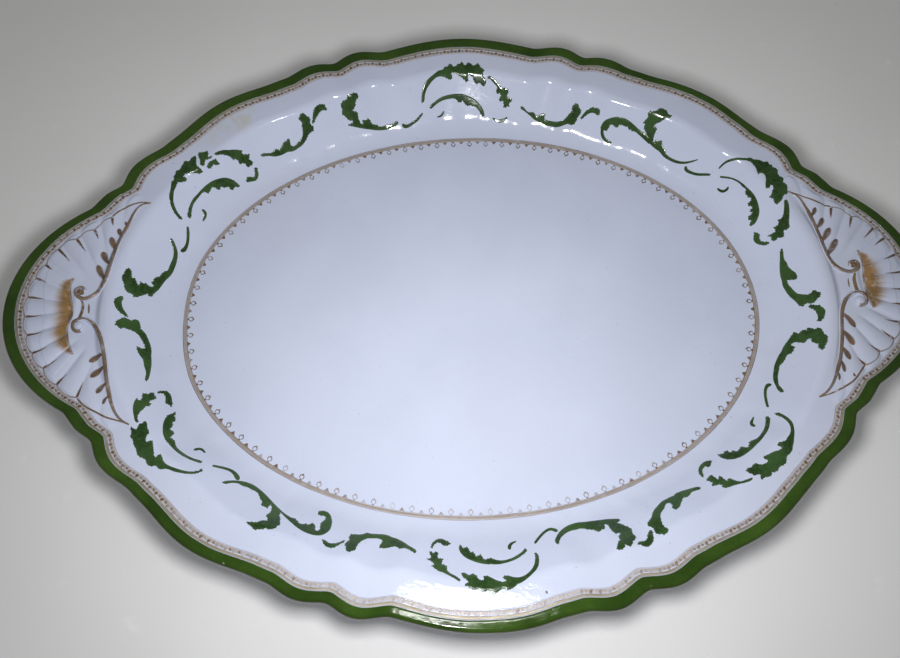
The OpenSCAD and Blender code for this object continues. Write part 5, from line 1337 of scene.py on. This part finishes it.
# number of scallops, and the plain runs of the outline at both ends
SCALLOPS = [11, 12]
RUNS = [
    [[(156.4, 48.4), (162.9, 45.1), (167.6, 42.2), (174.5, 38.7)], [(150.1, -53.9), (156.5, -52.2), (161.2, -50.2), (165.8, -47.6), (169.6, -43.9), (173.1, -40.4)]],
    [[(-150.7, 52.2), (-154.9, 52.4), (-159.6, 50.7), (-163.6, 48.2), (-167.2, 44.4)],
     [(-149.6, -55.1), (-153.5, -53.6), (-159.1, -51.9), (-164.1, -49.3), (-169.5, -46.1), (-172.6, -42.9)]],
]
# leaf strokes on the arms: thick end, tail on the arm, half width
COMMAS = [
    [((167.1, 38.7), (165.3, 35.4), .8), ((170.1, 33.3), (166.9, 29.3), 1.0), ((171.8, 27.6), (167.8, 22.2), 1.1), ((174.1, 21.7), (168.6, 14.7), 1.15),
     ((173.3, -21.4), (170.1, -14.9), 1.05), ((170.6, -29.8), (167.8, -22.7), 1.05), ((167.2, -36.8), (165.7, -30.6), .9), ((163.6, -42.5), (163.5, -37), .65),
     ((160.4, -46.3), (160.7, -42.7), .45)],
    [((-171.9, 20), (-168.2, 13.7), 1.1), ((-170.2, 26.8), (-167.6, 21.9), 1.15), ((-167.2, 34.1), (-164.8, 28.7), 1.1), ((-164.2, 38.7), (-162.7, 35.4), .85),
     ((-161.4, 42.4), (-160.3, 40.3), .5), ((-169.8, -25.8), (-164.2, -22.9), 1.1), ((-168.1, -33), (-163.2, -28.8), 1.15), ((-164.6, -40.5), (-161.7, -36.3), .95),
     ((-161.4, -45.6), (-159.9, -42.3), .6)],
]
# line that joins the two volutes, and the short dash beside it
JOINS = [
    [[(179.2, 4.6, .4), (178.3, 1.8, .72), (178.2, -1.5, .75), (178.5, -4.1, .75), (179.7, -6.4, .6), (180.5, -8.8, .35)], [(176, 2.3, .2), (175.7, -.2, .4), (175.7, -2.3, .2)]],
    [[(-177.7, 3.8, .4), (-176.5, 1, .72), (-176.6, -2.6, .75), (-177.8, -6.3, .7), (-178.6, -7.4, .35)], [(-174.1, 1.7, .2), (-173.8, -.7, .6), (-173.6, -3.1, .25)]],
]
# brushed crescent at the root of the flutes: inner edge, and how far it reaches out
CRESCENTS = [
    ([(182.3, 15.8), (183.7, 9.1), (182.9, 3.3), (182.4, -2.6), (182.5, -8.4), (183.5, -13.2)], [.5, 4.6, 7.2, 7.6, 6, .6]),
    ([(-181.6, 13.9), (-182.6, 10.6), (-182.1, 5), (-180.6, 0), (-180.2, -5), (-181.5, -10.4), (-180.7, -15.2), (-179.1, -19.5), (-177.1, -22.8)],
     [.4, 3.5, 5.6, 6.8, 7.2, 6, 5, 2.6, .4]),
]


def arm_path(arm, n):
    P = np.array(arm["path"], float)
    s = np.concatenate([[0], np.cumsum(np.hypot(*np.diff(P, axis=0).T))])
    S = np.linspace(0, s[-1], n)
    C = spline(s, P, S)
    T = np.gradient(C, axis=0)
    T /= np.linalg.norm(T, axis=1, keepdims=True)
    u = S / s[-1]
    w = np.interp(u, [0, .06, .2, .5, .75, .9, 1], [.35, .6, .9, 1.1, 1.2, 1.0, .75])
    h = np.interp(u, [0, .1, .3, .6, .8, 1], [.15, .45, .8, 1.1, 1.25, 1.5])
    return C, T, w, h, u


def make_scrolls(side):
    b = Build()
    n = 170
    a = np.radians(np.linspace(200, -20, 13))
    for arm in ARMS[side]:
        C, T, w, h, u = arm_path(arm, n)
        Nn = np.stack([-T[:, 1], T[:, 0]], -1)
        V, Zo = np.cos(a)[None, :] * w[:, None], np.sin(a)[None, :] * h[:, None]
        XY = C[:, None, :] + V[..., None] * Nn[:, None, :]
        base = z_xy(XY[..., 0], XY[..., 1])
        zb = z_xy(C[:, 0], C[:, 1])[:, None]
        Z = np.where(Zo < 0, np.minimum(base, zb) - 0.5, 0.5 * zb + 0.5 * base + Zo)
        ring = np.concatenate([XY, Z[..., None]], -1)
        m = ring.shape[1]
        first = b.add(ring, [grid_faces(n, m, wrap_cols=True)[:, ::-1]])
        b.f.append([first + k for k in range(m)])
        b.f.append([first + (n - 1) * m + k for k in range(m)][::-1])
        b.m += [0, 0]
        # round eye of the volute
        (ex, ey), r = arm["eye"], arm["r"]
        k = np.arange(24) / 24 * TAU
        z0 = float(z_xy(np.array(ex), np.array(ey)))
        top = 1.5 + 0.25 * r
        rings = [np.stack([ex + r * q * np.cos(k), ey + r * q * np.sin(k), np.full(24, z0 + zz)], -1)
                 for q, zz in ((1.0, -0.6), (0.98, 0.35 * top), (0.9, 0.62 * top), (0.72, 0.84 * top), (0.4, 0.97 * top))]
        f1 = b.add(np.concatenate([*rings, [[ex, ey, z0 + top]], [[ex, ey, z0 - 0.6]]]), [grid_faces(5, 24, True)])
        i = np.arange(24)
        j = (i + 1) % 24
        b.f += np.stack([96 + i + f1, 96 + j + f1, np.full(24, 120 + f1)], -1).tolist()
        b.f += np.stack([j + f1, i + f1, np.full(24, 121 + f1)], -1).tolist()
        b.m += [0] * 48
    b.piece(("scroll_right", "scroll_left")[side], ("right_scroll_moulding", "left_scroll_moulding")[side], [GLAZE], smooth_angle=60)


def on_arm(b, arm, lo, hi, off, hw, lift, mat, thin):
    """Gilt line along the crest of an arm, raised with it."""
    C, T, w, h, u = arm_path(arm, 220)
    keep = (u >= lo) & (u <= hi)
    C, T, w, h, u = C[keep], T[keep], w[keep], h[keep], u[keep]
    n = len(C)
    Nn = np.stack([-T[:, 1], T[:, 0]], -1)
    half = hw(u)
    pts, ths = [], []
    al = np.linspace(-1, 1, 7)
    zb = z_xy(C[:, 0], C[:, 1])
    for layer, l in ((al, lift), (al[::-1], -0.08)):
        for q in layer:
            v = np.clip(off * w + q * half, -w * 0.985, w * 0.985)
            XY = C + v[:, None] * Nn
            base = z_xy(XY[:, 0], XY[:, 1])
            Z = 0.5 * zb + 0.5 * base + h * np.sqrt(np.clip(1 - (v / w) ** 2, 0, 1))
            e = l if abs(q) < 0.99 or l < 0 else -0.03
            pts.append(np.concatenate([XY, (Z + e)[:, None]], 1))
            ths.append(thin(u))
    ring = np.stack(pts, 1)
    m = ring.shape[1]
    first = b.add(ring, [grid_faces(n, m, wrap_cols=True)], mat, np.stack(ths, 1))
    b.f.append([first + k for k in range(m)][::-1])
    b.f.append([first + (n - 1) * m + k for k in range(m)])
    b.m += [mat, mat]


def make_shell_gilding(side):
    b = Build()
    rng = np.random.default_rng(40 + side)
    fan = FAN_X * (-1 if side else 1)
    # scalloped outline along the round ends of the flutes
    for run in RUNS[side]:
        stroke(b, [(x, y, .30 + .16 * min(1, i / 2)) for i, (x, y) in enumerate(run)], lift=0.10, mat=0)
    ends = [o for o, _ in TICKS[side]][:SCALLOPS[side] + 1]
    for (x0, y0), (x1, y1) in zip(ends[:-1], ends[1:]):
        mx, my = (x0 + x1) / 2, (y0 + y1) / 2
        L = math.hypot(mx - fan, my)
        bow = 0.13 * math.hypot(x1 - x0, y1 - y0) / L
        arc = [(x0 + (x1 - x0) * k + (mx - fan) * bow * 4 * k * (1 - k), y0 + (y1 - y0) * k + my * bow * 4 * k * (1 - k), .32 + .12 * abs(2 * k - 1))
               for k in (0, .17, .33, .5, .67, .83, 1)]
        stroke(b, arc, lift=0.10, mat=0, thin_along=lambda u: 0.2 + 0.2 * np.sin(u * math.pi))
    for (x0, y0), (x1, y1) in TICKS[side]:
        bend = rng.normal(0, 0.25)
        mx, my = (x0 + x1) / 2 + bend * 0.3, (y0 + y1) / 2 + bend
        stroke(b, [(x0, y0, .78), (mx * .5 + x0 * .5, my * .5 + y0 * .5, .68), (mx, my, .50), (x1, y1, .18)], lift=0.10, mat=2,
               thin_along=lambda u: 0.5 * smooth((u - 0.6) / 0.4))
    # leaf strokes growing from the arms towards the shell
    for (x0, y0), (x1, y1), hw in COMMAS[side]:
        dx, dy = x1 - x0, y1 - y0
        L = math.hypot(dx, dy)
        c = 0.6 * (1 if (x0 > 0) == (y0 > 0) else -1)
        px, py = -dy / L, dx / L
        hw *= 1.42
        stroke(b, [(x0 - dx * .12, y0 - dy * .12, hw * .30), (x0 + dx * .04 + px * c * .2, y0 + dy * .04 + py * c * .2, hw * .82),
                   (x0 + dx * .24 + px * c * .5, y0 + dy * .24 + py * c * .5, hw), (x0 + dx * .50 + px * c * .8, y0 + dy * .50 + py * c * .8, hw * .90),
                   (x0 + dx * .78 + px * c * .6, y0 + dy * .78 + py * c * .6, hw * .66), (x1 + dx * .10, y1 + dy * .10, .45)], lift=0.10, mat=4,
               thin_along=lambda u: 0.05 + 0.1 * smooth((u - 0.75) / 0.25))
    for arm in ARMS[side]:
        for lo, hi in arm["gilt"]:
            # on the plain boss the line runs thin over the top of the curl
            slim = 0.62 if arm["r"] > 1.5 else 0.0
            on_arm(b, arm, lo, hi, 0.0, lambda u: (0.42 + 0.72 * smooth(u / 0.3) + 0.06 * np.sin(u * 31)) * (1 - slim * bell((u - 0.805) / 0.085)), 0.07, 3, lambda u: 0.05 + 0.10 * np.sin(u * 14) ** 2)
        if arm["r"] < 1.5:
            # gold over the small eye
            (ex, ey), r = arm["eye"], arm["r"] + 0.05
            z0, top = float(z_xy(np.array(ex), np.array(ey))), 1.57 + 0.25 * arm["r"]
            k = np.arange(20) / 20 * TAU
            rings = [np.stack([ex + r * q * np.cos(k), ey + r * q * np.sin(k), np.full(20, z0 + zz)], -1)
                     for q, zz in ((1.0, -0.1), (0.98, 0.35 * top), (0.9, 0.62 * top), (0.72, 0.84 * top), (0.4, 0.97 * top))]
            f1 = b.add(np.concatenate([*rings, [[ex, ey, z0 + top]], [[ex, ey, z0 - 0.1]]]), [grid_faces(5, 20, True)], 3)
            i = np.arange(20)
            j = (i + 1) % 20
            b.f += np.stack([80 + i + f1, 80 + j + f1, np.full(20, 100 + f1)], -1).tolist()
            b.f += np.stack([j + f1, i + f1, np.full(20, 101 + f1)], -1).tolist()
            b.m += [3] * 40
    for rows in JOINS[side]:
        stroke(b, rows, lift=0.10, mat=3)
    # brushed crescent: dense along its inner edge, streaked and thin outwards
    inner, widths = CRESCENTS[side]
    P = np.array(inner, float)
    s = np.concatenate([[0], np.cumsum(np.hypot(*np.diff(P, axis=0).T))])
    nph, nr = 150, 30
    S = np.linspace(0, s[-1], nph)
    C = spline(s, P, S)
    W = 1.35 * np.interp(S, s, widths)
    O = C - np.array([fan, 0.0])
    O /= np.linalg.norm(O, axis=1, keepdims=True)
    streak = np.zeros(nph)
    for k in range(60):
        c, w, a = rng.uniform(0, s[-1]), rng.uniform(0.15, 0.5), rng.uniform(-0.7, 0.8)
        streak += a * np.exp(-((S - c) / w) ** 2)
    reach = W * (1 + 0.12 * np.clip(streak, -1, 1))
    R, J = np.meshgrid(np.linspace(0, max(widths) * 1.7, nr), np.arange(nph), indexing="ij")
    X, Y = C[J, 0] + O[J, 0] * R, C[J, 1] + O[J, 1] * R
    q = R / np.maximum(reach[J], 0.05)
    strong = (1 - smooth((q - 0.35) / 0.70)) * smooth(R / 0.35)
    fine = np.sin(S[J] * 13 + 2 * np.sin(R * 1.1)) * 0.5 + np.sin(S[J] * 6.1 + 1.0) * 0.5
    strong = np.clip(strong * np.clip(0.97 + 0.12 * streak[J], 0.5, 1.0) * (1 + 0.10 * fine * smooth(R / 3)), 0, 1)
    Z = z_xy(X, Y)
    rim = np.zeros_like(Z)
    rim[0] = rim[-1] = 1
    rim[:, 0] = rim[:, -1] = 1
    up = np.stack([X, Y, Z + np.where(rim > 0, -0.03, 0.045)], -1)
    dn = np.stack([X, Y, Z - 0.09], -1)
    k = nr * nph
    gf = grid_faces(nr, nph)
    per = np.concatenate([np.arange(nph), np.arange(1, nr) * nph + nph - 1, (nr - 1) * nph + np.arange(nph - 2, -1, -1), np.arange(nr - 2, 0, -1) * nph])
    nxt = np.roll(per, -1)
    fs = [gf, gf[:, ::-1] + k, np.stack([nxt, per, per + k, nxt + k], -1)]
    e1, e2 = up[0, 1] - up[0, 0], up[1, 0] - up[0, 0]
    if e1[0] * e2[1] - e1[1] * e2[0] < 0:
        fs = [f[:, ::-1] for f in fs]
    b.add(np.concatenate([up.reshape(-1, 3), dn.reshape(-1, 3)]), fs, 1, np.concatenate([1 - strong.ravel(), np.ones(k)]))
    stroke(b, [(x, y, .2 + .35 * min(1, w / 3)) for (x, y), w in zip(inner, widths)], lift=0.10, mat=0, thin_along=lambda u: 0.25 + 0.2 * np.sin(u * 23))
    b.piece(("gilding_right", "gilding_left")[side], ("right_shell_gilding", "left_shell_gilding")[side], [BROWN, WASH, SPOT, GOLD, COMMA], attr="thin")


make_body()
make_foot()
for s in (0, 1):
    make_shell(s)
    make_scrolls(s)
    make_shell_gilding(s)
make_enamel()
make_lace()
make_well_line()
make_loops()
make_leaves()

# ---------------------------------------------------------------------------
# Floor, light, camera
# ---------------------------------------------------------------------------
me = bpy.data.meshes.new("floor")
me.from_pydata([(-6, -6, 0), (6, -6, 0), (6, 6, 0), (-6, 6, 0)], [], [(0, 1, 2, 3)])
floor = bpy.data.objects.new("floor", me)
bpy.context.scene.collection.objects.link(floor)
fm = Mat("floor_pale")
fm.link(fm.mix(fm.ramp(fm.noise(6, 3, 0.5), 0.3, 0.7), (0.80, 0.79, 0.775), (0.83, 0.82, 0.805)), fm.bsdf.inputs["Base Color"])
fm.set(Roughness=0.75)
me.materials.append(fm.m)

scene = bpy.context.scene
world = bpy.data.worlds.new("studio")
world.use_nodes = True
world.node_tree.nodes["Background"].inputs[0].default_value = (0.94, 0.975, 0.985, 1)
world.node_tree.nodes["Background"].inputs[1].default_value = 0.125
scene.world = world


def area(name, loc, target, size, power, color=(1, 1, 1)):
    li = bpy.data.lights.new(name, "AREA")
    li.shape = "RECTANGLE"
    li.size, li.size_y = size
    li.energy = power
    li.color = color
    ob = bpy.data.objects.new(name, li)
    ob.location = loc
    ob.rotation_euler = (Vector(target) - Vector(loc)).to_track_quat("-Z", "Y").to_euler()
    scene.collection.objects.link(ob)
    return ob


# soft key close above the camera side; its mirror image is kept out of the glaze, and two
# small lamps beside it give the short highlights and the shine on the near flange
key = area("key", (-0.010, -0.092, 0.245), (0, -0.03, 0), (0.06, 0.06), 0.60, (0.965, 0.970, 1.0))
key.visible_camera = False
key.visible_glossy = False
glint = area("glint", (-0.012, -0.124, 0.300), (0, -0.02, 0), (0.012, 0.012), 0.34, (1.0, 0.99, 0.97))
sheen = area("sheen", (0.000, -0.075, 0.245), (0.002, -0.130, 0.03), (0.064, 0.020), 0.0010, (1.0, 0.985, 0.955))
sheen.data.shape = "ELLIPSE"
sheen.data.spread = math.radians(16)
for lamp in (glint, sheen):
    lamp.visible_camera = False
    lamp.visible_diffuse = False
# wide soft lamp that keeps the floor pale away from the object; it lights the floor alone
wash = area("wash", (0, 0, 1.6), (0, 0, 0), (3.0, 3.0), 8.0, (1.0, 0.995, 0.98))
wash.visible_camera = False
wash.visible_glossy = False
lit = bpy.data.collections.new("floor_light")
lit.objects.link(floor)
wash.light_linking.receiver_collection = lit

el, yaw, roll = math.radians(70.457), math.radians(-4.429), math.radians(2.283)
back = Vector((math.sin(yaw) * math.cos(el), -math.cos(yaw) * math.cos(el), math.sin(el)))
right = Vector((math.cos(yaw), math.sin(yaw), 0))
up = back.cross(right)
cr = math.cos(roll) * right + math.sin(roll) * up
cu = -math.sin(roll) * right + math.cos(roll) * up
place = Vector((-10.705, -17.37, Z_SHO + RISE)) + 326.378 * back
cam = bpy.data.cameras.new("camera")
cam.sensor_width = 36.0
cam.lens = 29.2
cam.clip_start, cam.clip_end = 0.01, 50
co = bpy.data.objects.new("camera", cam)
m4 = Matrix(((cr.x, cu.x, back.x, place.x / 1000), (cr.y, cu.y, back.y, place.y / 1000), (cr.z, cu.z, back.z, place.z / 1000), (0, 0, 0, 1)))
co.matrix_world = m4
scene.collection.objects.link(co)
scene.camera = co
scene.view_settings.view_transform = "Standard"
scene.view_settings.look = "None"
